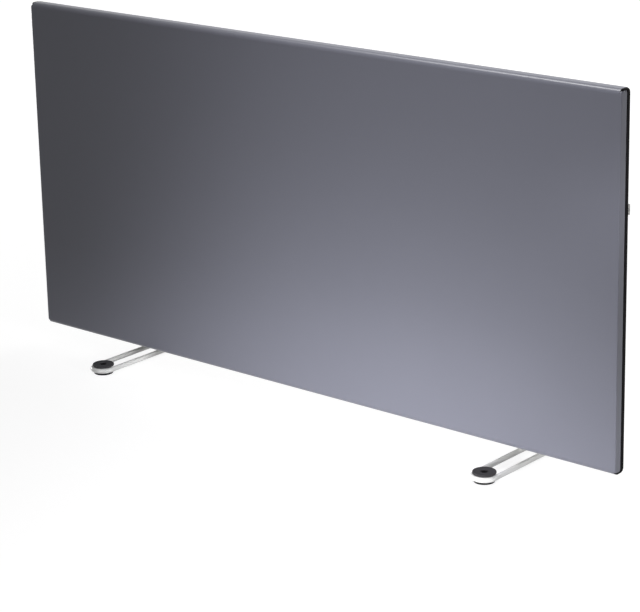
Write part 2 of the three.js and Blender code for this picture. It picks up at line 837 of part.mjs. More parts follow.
const cutoutBack = cutoutPlateFront - seatGap;
add(heater, "overheat_cutout", cutoutGeometry, finishes.blackPlastic(), xCutout, cutoutBack, zCutout);

// Places of the three push buttons, from the top one down
const buttonHeights = buttonPlaceShares.map((share) => fasciaTop - fasciaHeight * share);
const buttonNames = ["plus_button", "minus_button", "mode_button"];
const switchLength = rockerLength + 2 * (rockerEndGap + switchWall);
const switchWidth = rockerWidth + 2 * (rockerSideGap + switchWall);

// Fascia: a thin plate over the cheek's window, cut out for the switch, the display and the buttons
function fascia() {
  const from = xFascia - fasciaThickness;
  const outline = roundRectangle(yFascia, zFascia, fasciaWidth, fasciaHeight, fasciaCorner);
  const holeLength = switchLength + 2 * seatGap;
  const holeWidth = switchWidth + 2 * seatGap;
  const switchHole = roundRectangle(yRocker, zRocker, holeLength, holeWidth, 0, 0);
  const lensHole = roundRectangle(yButton, zDisplay, displayWidth, displayHeight, displayCorner);
  const buttonHoles = buttonHeights.map((z) => circle(yButton, z, buttonRadius + buttonClearance));
  return alongXSoft(outline, from, xFascia, fasciaEdge, [switchHole, lensHole, ...buttonHoles], 1);
}

add(heater, "control_fascia", fascia(), finishes.whitePlastic());

// Display window, let into the fascia
const lensWidth = displayWidth - 2 * seatGap;
const lensHeight = displayHeight - 2 * seatGap;
const lensOutline = roundRectangle(0, 0, lensWidth, lensHeight, displayCorner - seatGap);
const lensFrom = -displayThickness - fasciaEdge;
const lens = alongX(lensOutline, lensFrom, -fasciaEdge / 2);
add(heater, "display_window", lens, finishes.clearGlass(), xFascia, yButton, zDisplay);

// Switch body: a box with a rim on the fascia, a well for the rocker and blind holes for its pins
function switchBody() {
  const back = xBoard + seatGap - xFascia;
  const box = alongX(roundRectangle(0, 0, switchLength, switchWidth, 0, 0), back, bezelThickness);
  const rimLength = switchLength + 2 * bezelRim;
  const rimWidth = switchWidth + 2 * bezelRim;
  const rimOutline = roundRectangle(0, 0, rimLength, rimWidth, bezelRim);
  const rim = alongXSoft(rimOutline, seatGap, bezelThickness, bezelEdge);
  const wellLength = rockerLength + 2 * rockerEndGap;
  const wellWidth = rockerWidth + 2 * rockerSideGap;
  const floor = -rockerUnder - rockerFloorGap;
  const well = alongX(roundRectangle(0, 0, wellLength, wellWidth, 0, 0), floor, bezelThickness + cutOverrun);
  const pinHalf = rockerWidth / 2 + rockerSideGap + rockerPinReach;
  const pinHole = alongZ(circle(0, 0, rockerPinRadius + rockerPinClearance, postSteps), -pinHalf, pinHalf);
  return cut(join(box, rim), well, pinHole);
}

add(heater, "switch_body", switchBody(), finishes.whitePlastic(), xFascia, yRocker, zRocker);

// Rocker: rocks about a pin along z, its ends higher than its middle, and stored with its rear end up
function rocker() {
  const half = rockerLength / 2;
  const cornerX = rockerEndRise - rockerCorner;
  const outline = [
    new THREE.Vector2(-rockerUnder, -half),
    new THREE.Vector2(cornerX, -half),
    ...arc(cornerX, -half + rockerCorner, rockerCorner, -quarterTurn, 0, foldSteps).slice(1),
    new THREE.Vector2(rockerMidRise, 0),
    ...arc(cornerX, half - rockerCorner, rockerCorner, 0, quarterTurn, foldSteps),
    new THREE.Vector2(-rockerUnder, half),
  ];
  const cap = alongZ(outline, -rockerWidth / 2, rockerWidth / 2);
  const pinHalf = rockerWidth / 2 + rockerPinReach;
  const pin = alongZ(circle(0, 0, rockerPinRadius, postSteps), -pinHalf, pinHalf);
  return join(cap, pin);
}

const rockerFinish = finishes.whitePlastic();
const rockerMesh = add(heater, "power_rocker", rocker(), rockerFinish, xFascia, yRocker, zRocker);
rockerMesh.rotation.z = THREE.MathUtils.degToRad(-rockerTilt);

// Push buttons: a cap through the fascia, a flange behind it and a stem towards the circuit board
const stemEnd = xBoard + tactHeight + buttonTravel + tactPlay - xFascia;
const flangeTop = -fasciaThickness - seatGap;
const flangeUnder = flangeTop - buttonFlange;
const crownEdge = buttonRadius - buttonCrown;
const buttonSection = [[0, stemEnd], [buttonStemRadius, stemEnd], [buttonStemRadius, flangeUnder],
  [buttonFlangeRadius, flangeUnder], [buttonFlangeRadius, flangeTop], [buttonRadius, flangeTop],
  [buttonRadius, buttonRise - buttonCrown], [crownEdge, buttonRise], [0, buttonRise]];
buttonNames.forEach((name, i) => {
  const button = turned(buttonSection).rotateY(Math.PI / 2);
  add(heater, name, button, finishes.greyButton(), xFascia, yButton, buttonHeights[i]);
});

// Circuit board, with a small switch under each button, the display block and the indicator's pins on it
function circuitBoard() {
  const half = tactSize / 2;
  const width = boardWidth / 2;
  const height = boardHeight / 2;
  const plate = block(xBoardBack, yBoard - width, zBoard - height, xBoard, yBoard + width, zBoard + height);
  const inner = xBoard - boardThickness / 2;
  const tacts = buttonHeights.map((z) =>
    block(inner, yButton - half, z - half, xBoard + tactHeight, yButton + half, z + half));
  const displayFront = xFascia + lensFrom - seatGap;
  const lensHalf = lensWidth / 2;
  const top = zDisplay + lensHeight / 2;
  const bottom = zDisplay - lensHeight / 2;
  const display = block(inner, yButton - lensHalf, bottom, displayFront, yButton + lensHalf, top);
  return join(plate, ...tacts, display);
}

add(heater, "circuit_board", circuitBoard(), finishes.board());

// Parts on the board's inner face
const partBack = xBoardBack - seatGap;
function boardPart(name, thickness, width, height, centreHeight, material, bores = []) {
  const shape = block(-thickness, -width / 2, -height / 2, 0, width / 2, height / 2);
  const geometry = bores.length > 0 ? cut(shape, ...bores) : cut(shape, chamfer(thickness, width, height));
  add(heater, name, geometry, material, partBack, yBoard, centreHeight);
}

// A slanting cut along one edge of a moulded block, as wide as the share of its width
function chamfer(thickness, width, height) {
  const side = width * chamferShare;
  const wedge = block(-side, -side, -height, side, side, height).rotateZ(Math.PI / 4);
  return wedge.translate(-thickness, -width / 2, 0);
}

const zRelay = boardTop - relayBelowBoardTop;
const zSupply = boardTop - supplyBelowBoardTop;
boardPart("relay", relayThickness, relayWidth, relayHeight, zRelay, finishes.blackPlastic());
boardPart("power_supply", supplyThickness, supplyWidth, supplyHeight, zSupply, finishes.blackPlastic());
const boreX = -terminalThickness / 2;
const boreSpots = [-terminalWidth / 4, terminalWidth / 4];
const terminalBores = boreSpots.map((y) => alongZ(circle(boreX, y, terminalBore / 2, postSteps),
  -terminalHeight / 2 - cutOverrun, -terminalHeight / 2 + terminalBoreDepth));
const blockFinish = finishes.whitePlastic();
boardPart("terminal_block", terminalThickness, terminalWidth, terminalHeight, zTerminal, blockFinish,
  terminalBores);

// Room sensor pod: a small open-topped box under the shell, slotted so that room air passes through it
function sensorPod() {
  const outline = roundRectangle(0, 0, podLength, podWidth, podCorner);
  const hollow = roundRectangle(0, 0, podLength - 2 * podWall, podWidth - 2 * podWall, podCorner - podWall);
  const box = alongZ(outline, -podDrop, 0);
  const inside = alongZ(hollow, -podDrop + podWall, cutOverrun);
  const first = (-(podSlotCount - 1) / 2) * podSlotPitch;
  const slots = Array.from({ length: podSlotCount }, (_, i) => {
    const x = first + i * podSlotPitch;
    const half = podSlotWidth / 2;
    return block(x - half, -podWidth, -podDrop - cutOverrun, x + half, podWidth, -podDrop / 2);
  });
  return cut(box, inside, ...slots);
}

const podTop = shellBottom - seatGap;
add(heater, "sensor_pod", sensorPod(), finishes.whitePlastic(), xPod, yAir, podTop);

// Cable gland in the shell's back, with its nut inside
const glandSection = [[glandBore, -glandInside], [glandTube, -glandInside], [glandTube, seatGap],
  [glandFlange, seatGap], [glandFlange, glandFlangeThickness], [glandNose, glandFlangeThickness],
  [glandNose, glandFlangeThickness + glandNoseLength / 2],
  [(glandNose + glandBore) / 2, glandFlangeThickness + glandNoseLength],
  [glandBore, glandFlangeThickness + glandNoseLength], [glandBore, -glandInside]];
const gland = turned(glandSection).rotateX(-Math.PI / 2);
add(heater, "cable_gland", gland, finishes.blackPlastic(), xGland, yBack, zGland);
const nutHole = circle(0, 0, glandTube + seatGap);
const nutGeometry = alongY(circle(0, 0, glandNutRadius, nutFlats), -glandNutThickness, 0, [nutHole]);
add(heater, "gland_nut", nutGeometry, finishes.blackPlastic(), xGland, yBackInside - seatGap, zGland);

// Wires from the terminal block to the two ends of the rod
function wire(points) {
  const curve = new THREE.CatmullRomCurve3(points.map(([x, y, z]) => new THREE.Vector3(x, y, z)));
  const section = new THREE.Shape(circle(0, 0, wireDiameter / 2, wireSides));
  return new THREE.ExtrudeGeometry(section, { extrudePath: curve, steps: wireSteps, bevelEnabled: false });
}

const boreTop = zTerminal - terminalHeight / 2 + terminalBoreDepth - seatGap;
const boreWorldX = partBack + boreX;
const wireStart = pinEnd + seatGap;
const wireRunY = yFront + wireBackDepth;
const boreMouth = zTerminal - terminalHeight / 2;
const [leftBoreY, rightBoreY] = boreSpots.map((y) => yBoard + y);
const [rightFirst, rightMiddle, rightLast] = wireDropShares.map((share) =>
  boreMouth - (boreMouth - zElement) * share);
const rightWire = [
  [boreWorldX, rightBoreY, boreTop],
  [boreWorldX, rightBoreY, rightFirst],
  [boreWorldX, (rightBoreY + yAir) / 2, rightMiddle],
  [wireStart + wireTurn, yAir, rightLast],
  [wireStart + wireTurn / 2, yAir, zElement],
  [wireStart, yAir, zElement],
];
const leftWire = [
  [boreWorldX, leftBoreY, boreTop],
  [boreWorldX, leftBoreY, boreMouth - wireTurn],
  [boreWorldX, wireRunY, (boreMouth + zWire) / 2],
  [boreWorldX, wireRunY, zWire + 2 * wireTurn],
  [boreWorldX - wireTurn, wireRunY, zWire],
  [elementEnd / 2, wireRunY, zWire],
  [-elementEnd / 2, wireRunY, zWire],
  [-wireStart - wireTurn, wireRunY, zWire],
  [-wireStart - 2 * wireTurn, (wireRunY + yAir) / 2, (zWire + zElement) / 2],
  [-wireStart - wireTurn, yAir, zElement],
  [-wireStart - wireTurn / 2, yAir, zElement],
  [-wireStart, yAir, zElement],
];
add(heater, "right_wire", wire(rightWire), finishes.whiteWire());
add(heater, "left_wire", wire(leftWire), finishes.whiteWire());

// Heights in a foot, from the floor up
const rodHeight = padThickness + seatGap + footRod / 2;
const rodTop = rodHeight + footRod / 2;
const bracketUnder = rodTop + seatGap;
const capUnder = rodTop + seatGap;
const loopBend = footRodPitch / 2;
const padReach = bodyDepth / 2 + footReach;
const screwTop = capUnder + padCapThickness - padScrewSink;

// A closed loop of round rod in plan: two half circles joined by straight runs
function rodLoop() {
  const ends = [[padReach, 0], [-padReach, halfTurn]];
  const centres = ends.flatMap(([y, start]) => arc(0, y, loopBend, start, start + halfTurn, loopBendSteps));
  const outward = ends.flatMap(([, start]) => arc(0, 0, 1, start, start + halfTurn, loopBendSteps));
  const vertices = [];
  const indices = [];
  centres.forEach((centre, i) => {
    for (let j = 0; j < loopSides; j += 1) {
      const angle = (2 * Math.PI * j) / loopSides;
      const reach = (footRod / 2) * Math.cos(angle);
      vertices.push(centre.x + outward[i].x * reach, centre.y + outward[i].y * reach);
      vertices.push((footRod / 2) * Math.sin(angle));
      const nextRing = (i + 1) % centres.length;
      const nextSide = (j + 1) % loopSides;
      const a = i * loopSides + j;
      const b = nextRing * loopSides + j;
      const c = nextRing * loopSides + nextSide;
      const d = i * loopSides + nextSide;
      indices.push(a, b, c, a, c, d);
    }
  });
  const geometry = new THREE.BufferGeometry();
  geometry.setAttribute("position", new THREE.Float32BufferAttribute(vertices, 3));
  geometry.setIndex(indices);
  return geometry;
}

// Folded bracket: a foot on top of the rods and an upright behind the shell
function footBracket() {
  const half = footBracketSheet / 2;
  const uprightY = yBack + seatGap + half;
  const corners = [
    [yFront + footBracketFront, bracketUnder + half],
    [uprightY, bracketUnder + half],
    [uprightY, zBottom + footBracketAboveBottom],
  ];
  const width = footBracketWidth / 2;
  const sheet = alongX(sheetSection(corners, [footBracketBend], footBracketSheet), -width, width);
  const radius = footScrewShank / 2 + holeClearance;
  const holes = footScrewHeights.map((z) =>
    alongY(circle(0, z, radius), yBack - cutOverrun, uprightY + half + cutOverrun));
  return cut(sheet, ...holes);
}

// Lower pad: a rubber disc under the rod, with a hub that fills the bend and takes the screw
function footPad() {
  const hub = loopBend - footRod / 2 - seatGap;
  const top = capUnder - seatGap;
  const hole = padScrewShank + holeClearance;
  const section = [[0, 0], [padRadius - padEdge, 0], [padRadius, padEdge], [padRadius, padThickness],
    [hub, padThickness], [hub, top], [hole, top], [hole, screwTop - padScrewReach - seatGap],
    [0, screwTop - padScrewReach - seatGap]];
  return turned(section);
}

// Upper pad: a dished disc on top of the rod, with a sunk hole for the screw's head
function footCap() {
  const hole = padScrewShank + holeClearance;
  const well = padScrewHead + holeClearance;
  const seat = padCapThickness - padScrewSink - padScrewHeadHeight - seatGap;
  const dish = padCapThickness - padDish;
  const section = [[hole, 0], [padCapRadius - padCapEdge, 0], [padCapRadius, padCapEdge],
    [padCapRadius, padCapThickness - padCapEdge], [padCapRadius - padCapEdge, padCapThickness],
    [padCapRadius - 2 * padCapEdge, padCapThickness], [padCapRadius - 3 * padCapEdge, dish],
    [well, dish], [well, seat], [hole, seat], [hole, 0]];
  return turned(section);
}

// Pad screw: a flat head with a six-sided socket
function padScrew() {
  const section = [[0, -padScrewReach], [padScrewShank, -padScrewReach], [padScrewShank, -padScrewHeadHeight],
    [padScrewHead, -padScrewHeadHeight], [padScrewHead, 0], [0, 0]];
  const socket = alongZ(circle(0, 0, padSocket, nutFlats), -padSocketDepth, cutOverrun);
  return cut(turned(section, screwSteps), socket);
}

for (const [side, sign] of sides) {
  const foot = new THREE.Group();
  foot.position.x = sign * xFoot;
  heater.add(foot);
  add(foot, `${side}_foot_loop`, rodLoop(), finishes.whitePaint(), 0, 0, rodHeight);
  add(foot, `${side}_foot_bracket`, footBracket(), finishes.whitePaint());
  footScrewHeights.forEach((z, i) => {
    const screw = panScrew(footScrewHead / 2, footScrewHeadHeight, footScrewShank / 2, footScrewReach);
    const y = yBack + seatGap + footBracketSheet + seatGap;
    add(foot, `${side}_bracket_screw_${i + 1}`, screw, finishes.zincSteel(), 0, y, z);
  });
  for (const [end, way] of [["front", -1], ["rear", 1]]) {
    const y = way * padReach;
    add(foot, `${side}_${end}_foot_pad`, footPad(), finishes.rubber(), 0, y, 0);
    add(foot, `${side}_${end}_foot_cap`, footCap(), finishes.padTop(), 0, y, capUnder);
    add(foot, `${side}_${end}_pad_screw`, padScrew(), finishes.blackPlastic(), 0, y, screwTop);
  }
}

export default heater;
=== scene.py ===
import json
import math

import bmesh
import bpy
from mathutils import Matrix, Vector


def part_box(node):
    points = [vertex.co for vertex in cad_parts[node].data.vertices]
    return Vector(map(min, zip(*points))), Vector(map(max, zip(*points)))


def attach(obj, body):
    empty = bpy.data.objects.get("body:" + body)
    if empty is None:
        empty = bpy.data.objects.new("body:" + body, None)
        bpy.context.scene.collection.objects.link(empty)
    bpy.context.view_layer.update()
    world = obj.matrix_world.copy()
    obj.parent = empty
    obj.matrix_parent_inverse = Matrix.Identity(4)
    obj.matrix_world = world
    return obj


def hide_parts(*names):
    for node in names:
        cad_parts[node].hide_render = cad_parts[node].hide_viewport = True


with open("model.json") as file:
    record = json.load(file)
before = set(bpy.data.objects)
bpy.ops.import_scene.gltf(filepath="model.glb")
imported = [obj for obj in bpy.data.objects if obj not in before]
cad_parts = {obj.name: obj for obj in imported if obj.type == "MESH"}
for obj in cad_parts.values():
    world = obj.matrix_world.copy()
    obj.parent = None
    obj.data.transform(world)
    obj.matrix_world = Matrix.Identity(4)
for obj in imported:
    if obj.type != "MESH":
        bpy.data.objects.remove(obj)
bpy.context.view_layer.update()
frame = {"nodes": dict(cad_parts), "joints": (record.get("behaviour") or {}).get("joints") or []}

# CAMERA
# It stands to the right of the heater and above it, about two and a half metres away, and looks down on the
# front panel. Its small shift moves the heater in the frame as in the photograph.
IMAGE_WIDTH = 640
FOCAL_PIXELS = 2305.5
SENSOR_WIDTH = 36
QUARTER_TURN = math.pi / 2
camera_data = bpy.data.cameras.new("camera")
camera_data.sensor_width = SENSOR_WIDTH
camera_data.lens = SENSOR_WIDTH * FOCAL_PIXELS / IMAGE_WIDTH
camera_data.shift_y = -0.08
camera = bpy.data.objects.new("camera", camera_data)
camera.location = (1.4875, -1.7277, 0.8428)
yaw, pitch, roll = (math.radians(angle) for angle in (40.640, 16.528, -1.213))
look = Matrix.Rotation(yaw, 4, "Z") @ Matrix.Rotation(QUARTER_TURN - pitch, 4, "X")
camera.rotation_euler = (look @ Matrix.Rotation(roll, 4, "Z")).to_euler()
bpy.context.scene.collection.objects.link(camera)
bpy.context.scene.camera = camera

# FRONT PANEL
# One sheet of steel 1.5 mm thick, its two long edges rolled back and turned in again as lips. It is sprayed
# in satin metallic grey: fine flake in a grey base, with the faint orange peel that such paint dries to.
PANEL_SHEET = 0.0015
PANEL_ROLL = 0.0055
LIP_ROLL = 0.003
LIP_HEIGHT = 0.012
FOLD_STEPS = 14
WELD = 1e-6
HAIR = 1e-7
ALONG_X = Matrix(((0, 0, 1, 0), (1, 0, 0, 0), (0, 1, 0, 0), (0, 0, 0, 1)))
ALONG_Y = Matrix(((1, 0, 0, 0), (0, 0, -1, 0), (0, 1, 0, 0), (0, 0, 0, 1)))
ALONG_Z = Matrix.Identity(4)


def arc(cx, cy, radius, start, end, steps=FOLD_STEPS):
    """Points along an arc between two angles in degrees."""
    angles = [math.radians(start + (end - start) * i / steps) for i in range(steps + 1)]
    return [(cx + radius * math.cos(a), cy + radius * math.sin(a)) for a in angles]


def folded_section(corners, radii, thickness):
    """The outline of a folded sheet, from the corners and bend radii of its middle line."""
    points = [Vector(c) for c in corners]
    normals = []
    for a, b in zip(points, points[1:]):
        along = (b - a).normalized()
        normals.append(Vector((-along.y, along.x)))
    left = [points[0] + normals[0] * thickness / 2]
    right = [points[0] - normals[0] * thickness / 2]
    for point, radius, before, after in zip(points[1:], radii, normals, normals[1:]):
        turn = 1 if before.cross(after) > 0 else -1
        centre = point + (before + after) * turn * radius / (1 + before.dot(after))
        start = math.degrees(math.atan2(-turn * before.y, -turn * before.x))
        sweep = turn * math.degrees(math.acos(before.dot(after)))
        for reach, side in ((radius - turn * thickness / 2, left), (radius + turn * thickness / 2, right)):
            side.extend(Vector(p) for p in arc(centre.x, centre.y, reach, start, start + sweep))
    left.append(points[-1] + normals[-1] * thickness / 2)
    right.append(points[-1] - normals[-1] * thickness / 2)
    return [tuple(p) for p in left + right[::-1]]


def piece(name, mesh, material, body="body", node=None, smooth=32):
    """Links a mesh as a piece that rides a body and stands for a solid of the model, with its finish."""
    mesh.materials.clear()
    mesh.materials.append(material)
    mesh.shade_smooth()
    mesh.set_sharp_from_angle(angle=math.radians(smooth))
    made = bpy.data.objects.new(name, mesh)
    bpy.context.scene.collection.objects.link(made)
    made.modifiers.new("flat_faces", "WEIGHTED_NORMAL").keep_sharp = True
    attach(made, body)
    if node:
        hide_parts(node)
    return made


def meshed(name, lines, **settings):
    """The mesh of a curve that has closed lines of straight stretches and the given settings."""
    curve = bpy.data.curves.new(name, "CURVE")
    for setting, value in settings.items():
        setattr(curve, setting, value)
    for line in lines:
        spline = curve.splines.new("POLY")
        spline.points.add(len(line) - 1)
        spline.use_cyclic_u = True
        for point, place in zip(spline.points, line):
            point.co = (*place, 1)
    holder = bpy.data.objects.new(name, curve)
    mesh = bpy.data.meshes.new_from_object(holder)
    bpy.data.objects.remove(holder)
    bpy.data.curves.remove(curve)
    return mesh


def written(work, mesh):
    """Writes an edited mesh into a mesh of the file, and drops the edited one."""
    work.to_mesh(mesh)
    work.free()
    return mesh


def slab(outlines, thickness, edge=0.0, steps=4):
    """A flat plate with any holes, from closed outlines, its long edges rounded over."""
    lines = [[(x, y, 0) for x, y in outline] for outline in outlines]
    mesh = meshed(
        "outline", lines, dimensions="2D", fill_mode="BOTH", extrude=thickness / 2 - edge, bevel_depth=edge,
        bevel_resolution=steps, offset=-edge,
    )
    work = bmesh.new()
    work.from_mesh(mesh)
    bmesh.ops.remove_doubles(work, verts=work.verts, dist=WELD)
    bmesh.ops.dissolve_degenerate(work, edges=work.edges, dist=HAIR)
    bmesh.ops.recalc_face_normals(work, faces=work.faces)
    return written(work, mesh)


def run(outlines, axis, low, high, edge=0.0, steps=4):
    """The same plate, run along an axis from one value to another."""
    mesh = slab(outlines, high - low, edge, steps)
    way = -1 if axis == ALONG_Y else 1
    mesh.transform(axis @ Matrix.Translation((0, 0, way * (low + high) / 2)))
    return mesh


def node(tree, kind, *values, **settings):
    """Adds a node, and sets its first sockets in order, then its properties and other sockets by name."""
    made = tree.nodes.new(kind)
    for key, value in settings.items():
        if hasattr(made, key):
            setattr(made, key, value)
        else:
            made.inputs[key.replace("_", " ")].default_value = value
    for socket, value in zip(made.inputs, values):
        if isinstance(value, bpy.types.NodeSocket):
            tree.links.new(value, socket)
        else:
            socket.default_value = value
    return made


FLOAT, COLOR, VECTOR = "NodeSocketFloat", "NodeSocketColor", "NodeSocketVector"
NOISE_MIDDLE = 0.5


def group(name, inputs):
    """A shader node group for a surface, with named inputs, a colour, a roughness and a height."""
    tree = bpy.data.node_groups.new(name, "ShaderNodeTree")
    for kind, title, value in inputs:
        socket = tree.interface.new_socket(title, in_out="INPUT", socket_type=kind)
        socket.default_value = value
    for kind, title in ((COLOR, "Color"), (FLOAT, "Roughness"), (FLOAT, "Height")):
        tree.interface.new_socket(title, in_out="OUTPUT", socket_type=kind)
    return tree, tree.nodes.new("NodeGroupInput").outputs, node(tree, "ShaderNodeTexCoord").outputs["Object"]


def end_group(tree, given, shade, sheen, height):
    """Ends a group: a tone between its two colours, a gloss that drifts, and the height of the relief."""
    tone = node(tree, "ShaderNodeMix", data_type="RGBA")
    off_middle = node(tree, "ShaderNodeMath", sheen, NOISE_MIDDLE, operation="SUBTRACT")
    gloss = node(
        tree, "ShaderNodeMath", off_middle.outputs[0], given["Roughness Drift"], given["Roughness"],
        operation="MULTIPLY_ADD",
    )
    tree.links.new(shade, tone.inputs["Factor"])
    tree.links.new(given["Light"], tone.inputs[6])
    tree.links.new(given["Dark"], tone.inputs[7])
    node(tree, "NodeGroupOutput", tone.outputs[2], gloss.outputs[0], height)


# Grain is the small relief of a sprayed or moulded surface, with a slow drift in tone and in gloss.
SPECK_SHARE = 0.35
grain, given, place = group(
    "grain",
    [(COLOR, "Light", (1, 1, 1, 1)), (COLOR, "Dark", (0.8, 0.8, 0.8, 1)), (FLOAT, "Relief Scale", 900.0),
     (FLOAT, "Drift Scale", 6.0), (FLOAT, "Roughness", 0.5), (FLOAT, "Roughness Drift", 0.05)],
)
relief = node(grain, "ShaderNodeTexNoise", place, Detail=3.0, Roughness=0.55)
drift = node(grain, "ShaderNodeTexNoise", place, Detail=4.0, Roughness=0.6, Distortion=0.4)
speck = node(grain, "ShaderNodeTexNoise", place, Scale=2600.0, Detail=1.0)
grain.links.new(given["Relief Scale"], relief.inputs["Scale"])
grain.links.new(given["Drift Scale"], drift.inputs["Scale"])
blend = node(
    grain, "ShaderNodeMath", speck.outputs["Fac"], SPECK_SHARE, drift.outputs["Fac"], operation="MULTIPLY_ADD"
)
end_group(grain, given, blend.outputs[0], drift.outputs["Fac"], relief.outputs["Fac"])


def skinned(name, surface, given, depth, metallic):
    """A material whose colour, gloss and relief come from a surface group with the given values."""
    material = bpy.data.materials.new(f"{name}_finish")
    material["slot"] = name
    material.use_nodes = True
    tree = material.node_tree
    shader = tree.nodes["Principled BSDF"]
    shader.inputs["Metallic"].default_value = metallic
    skin = node(tree, "ShaderNodeGroup", node_tree=surface)
    for title, value in given.items():
        skin.inputs[title].default_value = value
    bump = node(tree, "ShaderNodeBump", Distance=depth, Strength=1.0)
    tree.links.new(skin.outputs["Color"], shader.inputs["Base Color"])
    tree.links.new(skin.outputs["Roughness"], shader.inputs["Roughness"])
    tree.links.new(skin.outputs["Height"], bump.inputs["Height"])
    tree.links.new(bump.outputs["Normal"], shader.inputs["Normal"])
    return material


def coated(name, light, dark, relief_scale, depth, roughness, drift_scale=6.0, gloss_drift=0.08, **shine):
    """Paint or plastic with the relief of the grain group. Shine sets sockets of the shader by name."""
    given = {
        "Light": (*light, 1), "Dark": (*dark, 1), "Relief Scale": relief_scale, "Drift Scale": drift_scale,
        "Roughness": roughness, "Roughness Drift": gloss_drift,
    }
    material = skinned(name, grain, given, depth, 0.0)
    for key, value in shine.items():
        material.node_tree.nodes["Principled BSDF"].inputs[key.replace("_", " ")].default_value = value
    return material


front_paint = coated(
    "front_paint", (0.230, 0.234, 0.288), (0.209, 0.213, 0.263), 420.0, 0.00002, 0.5, 4.0, 0.06,
    Specular_IOR_Level=0.1, Coat_Weight=0.55, Coat_Roughness=0.32,
)

low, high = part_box("front_panel")
y_front, y_rear = low.y, high.y
z_low, z_high = low.z, high.z
half = PANEL_SHEET / 2
panel_section = folded_section(
    [(y_rear - half, z_high - LIP_HEIGHT), (y_rear - half, z_high - half), (y_front + half, z_high - half),
     (y_front + half, z_low + half), (y_rear - half, z_low + half), (y_rear - half, z_low + LIP_HEIGHT)],
    [LIP_ROLL - half, PANEL_ROLL - half, PANEL_ROLL - half, LIP_ROLL - half], PANEL_SHEET,
)
piece("panel_sheet", run([panel_section], ALONG_X, low.x, high.x), front_paint, node="front_panel")

# END CAPS
# Two plates in the panel's own grey that close the ends of the folded sheet, a little lower and less deep
# than the sheet. Their outer edges are rounded, and a hollow tongue on each plugs into the fold.
CAP_INSET = 0.0017
CAP_FRONT_CORNER = 0.004
CAP_REAR_CORNER = 0.0024
CAP_EDGE = 0.0012
CAP_TONGUE_WALL = 0.002
CLEARANCE = 0.0003
CLOSE_FIT = 0.00002


def rectangle(x0, y0, x1, y1, radii=(0, 0, 0, 0)):
    """A closed outline whose four corners, anticlockwise from low left, each have their own radius."""
    corners = [(x0, y0, 1, 1), (x1, y0, -1, 1), (x1, y1, -1, -1), (x0, y1, 1, -1)]
    points = []
    for i, ((x, y, sx, sy), radius) in enumerate(zip(corners, radii)):
        if radius > 0:
            points += arc(x + sx * radius, y + sy * radius, radius, 180 + 90 * i, 270 + 90 * i)
        else:
            points.append((x, y))
    return points


def capped(box, radii, low, high, edge, steps=6):
    """A rounded plate along x, its edges rounded over at the far face alone."""
    turns = [math.radians(90 * i / steps) for i in range(steps + 1)]
    layers = [(low, 0.0)] + [(high - edge * (1 - math.sin(t)), edge * (1 - math.cos(t))) for t in turns]
    work = bmesh.new()
    rings = []
    for x, margin in layers:
        y0, z0, y1, z1 = box
        inner = (y0 + margin, z0 + margin, y1 - margin, z1 - margin)
        outline = rectangle(*inner, [radius - margin for radius in radii])
        rings.append([work.verts.new((x, y, z)) for y, z in outline])
    for near_ring, far_ring in zip(rings, rings[1:]):
        for i in range(len(near_ring)):
            work.faces.new((near_ring[i - 1], near_ring[i], far_ring[i], far_ring[i - 1]))
    work.faces.new(rings[0])
    work.faces.new(rings[-1])
    bmesh.ops.recalc_face_normals(work, faces=work.faces)
    return written(work, bpy.data.meshes.new("capped"))


def handed(mesh, side):
    """The mesh of the right end, or its mirror image for the left end."""
    if side == "left":
        mesh.transform(Matrix.Scale(-1, 4, (1, 0, 0)))
        mesh.flip_normals()
    return mesh


def joined(*meshes):
    """One mesh made of several."""
    work = bmesh.new()
    for mesh in meshes:
        work.from_mesh(mesh)
    return written(work, bpy.data.meshes.new("joined"))


sheet_end = high.x
inset = PANEL_SHEET + CLEARANCE
cap_radii = (CAP_FRONT_CORNER, CAP_REAR_CORNER, CAP_REAR_CORNER, CAP_FRONT_CORNER)
for side in ("left", "right"):
    box_low, box_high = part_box(f"{side}_end_cap")
    near, far = sorted((abs(box_low.x), abs(box_high.x)))
    back = box_high.y
    cap_box = (y_front, z_low + CAP_INSET, back, z_high - CAP_INSET)
    face = capped(cap_box, cap_radii, sheet_end + CLOSE_FIT, far, CAP_EDGE)
    nose = PANEL_ROLL - inset
    front, under, over = y_front + inset, z_low + inset, z_high - inset
    inner = front + CAP_TONGUE_WALL
    inner_low, inner_high = under + CAP_TONGUE_WALL, over - CAP_TONGUE_WALL
    heel = back - CAP_REAR_CORNER
    tongue = [(heel, under), *arc(front + nose, under + nose, nose, 270, 180)]
    tongue += [*arc(front + nose, over - nose, nose, 180, 90), (heel, over)]
    tongue += [(heel, inner_high), (inner, inner_high), (inner, inner_low), (heel, inner_low)]
    cap = joined(face, run([tongue], ALONG_X, near, sheet_end + CLEARANCE))
    piece(f"{side}_cap", handed(cap, side), front_paint, node=f"{side}_end_cap")

# SIDE FRAMES
# Black mouldings that finish each short edge behind the grey cap and show as a thin line over and under it.
# A strip with round corners sits on the ends of the panel's lips, and a web behind closes the hollow panel.
FRAME_CORNER = 0.005
FRAME_EDGE = 0.0008
FRAME_WEB = 0.0015
OVERRUN = 0.001
black_trim = coated(
    "black_trim", (0.0068, 0.0060, 0.0070), (0.0048, 0.0042, 0.0050), 1500.0, 0.00002, 0.6, 9.0,
    Specular_IOR_Level=0.04,
)


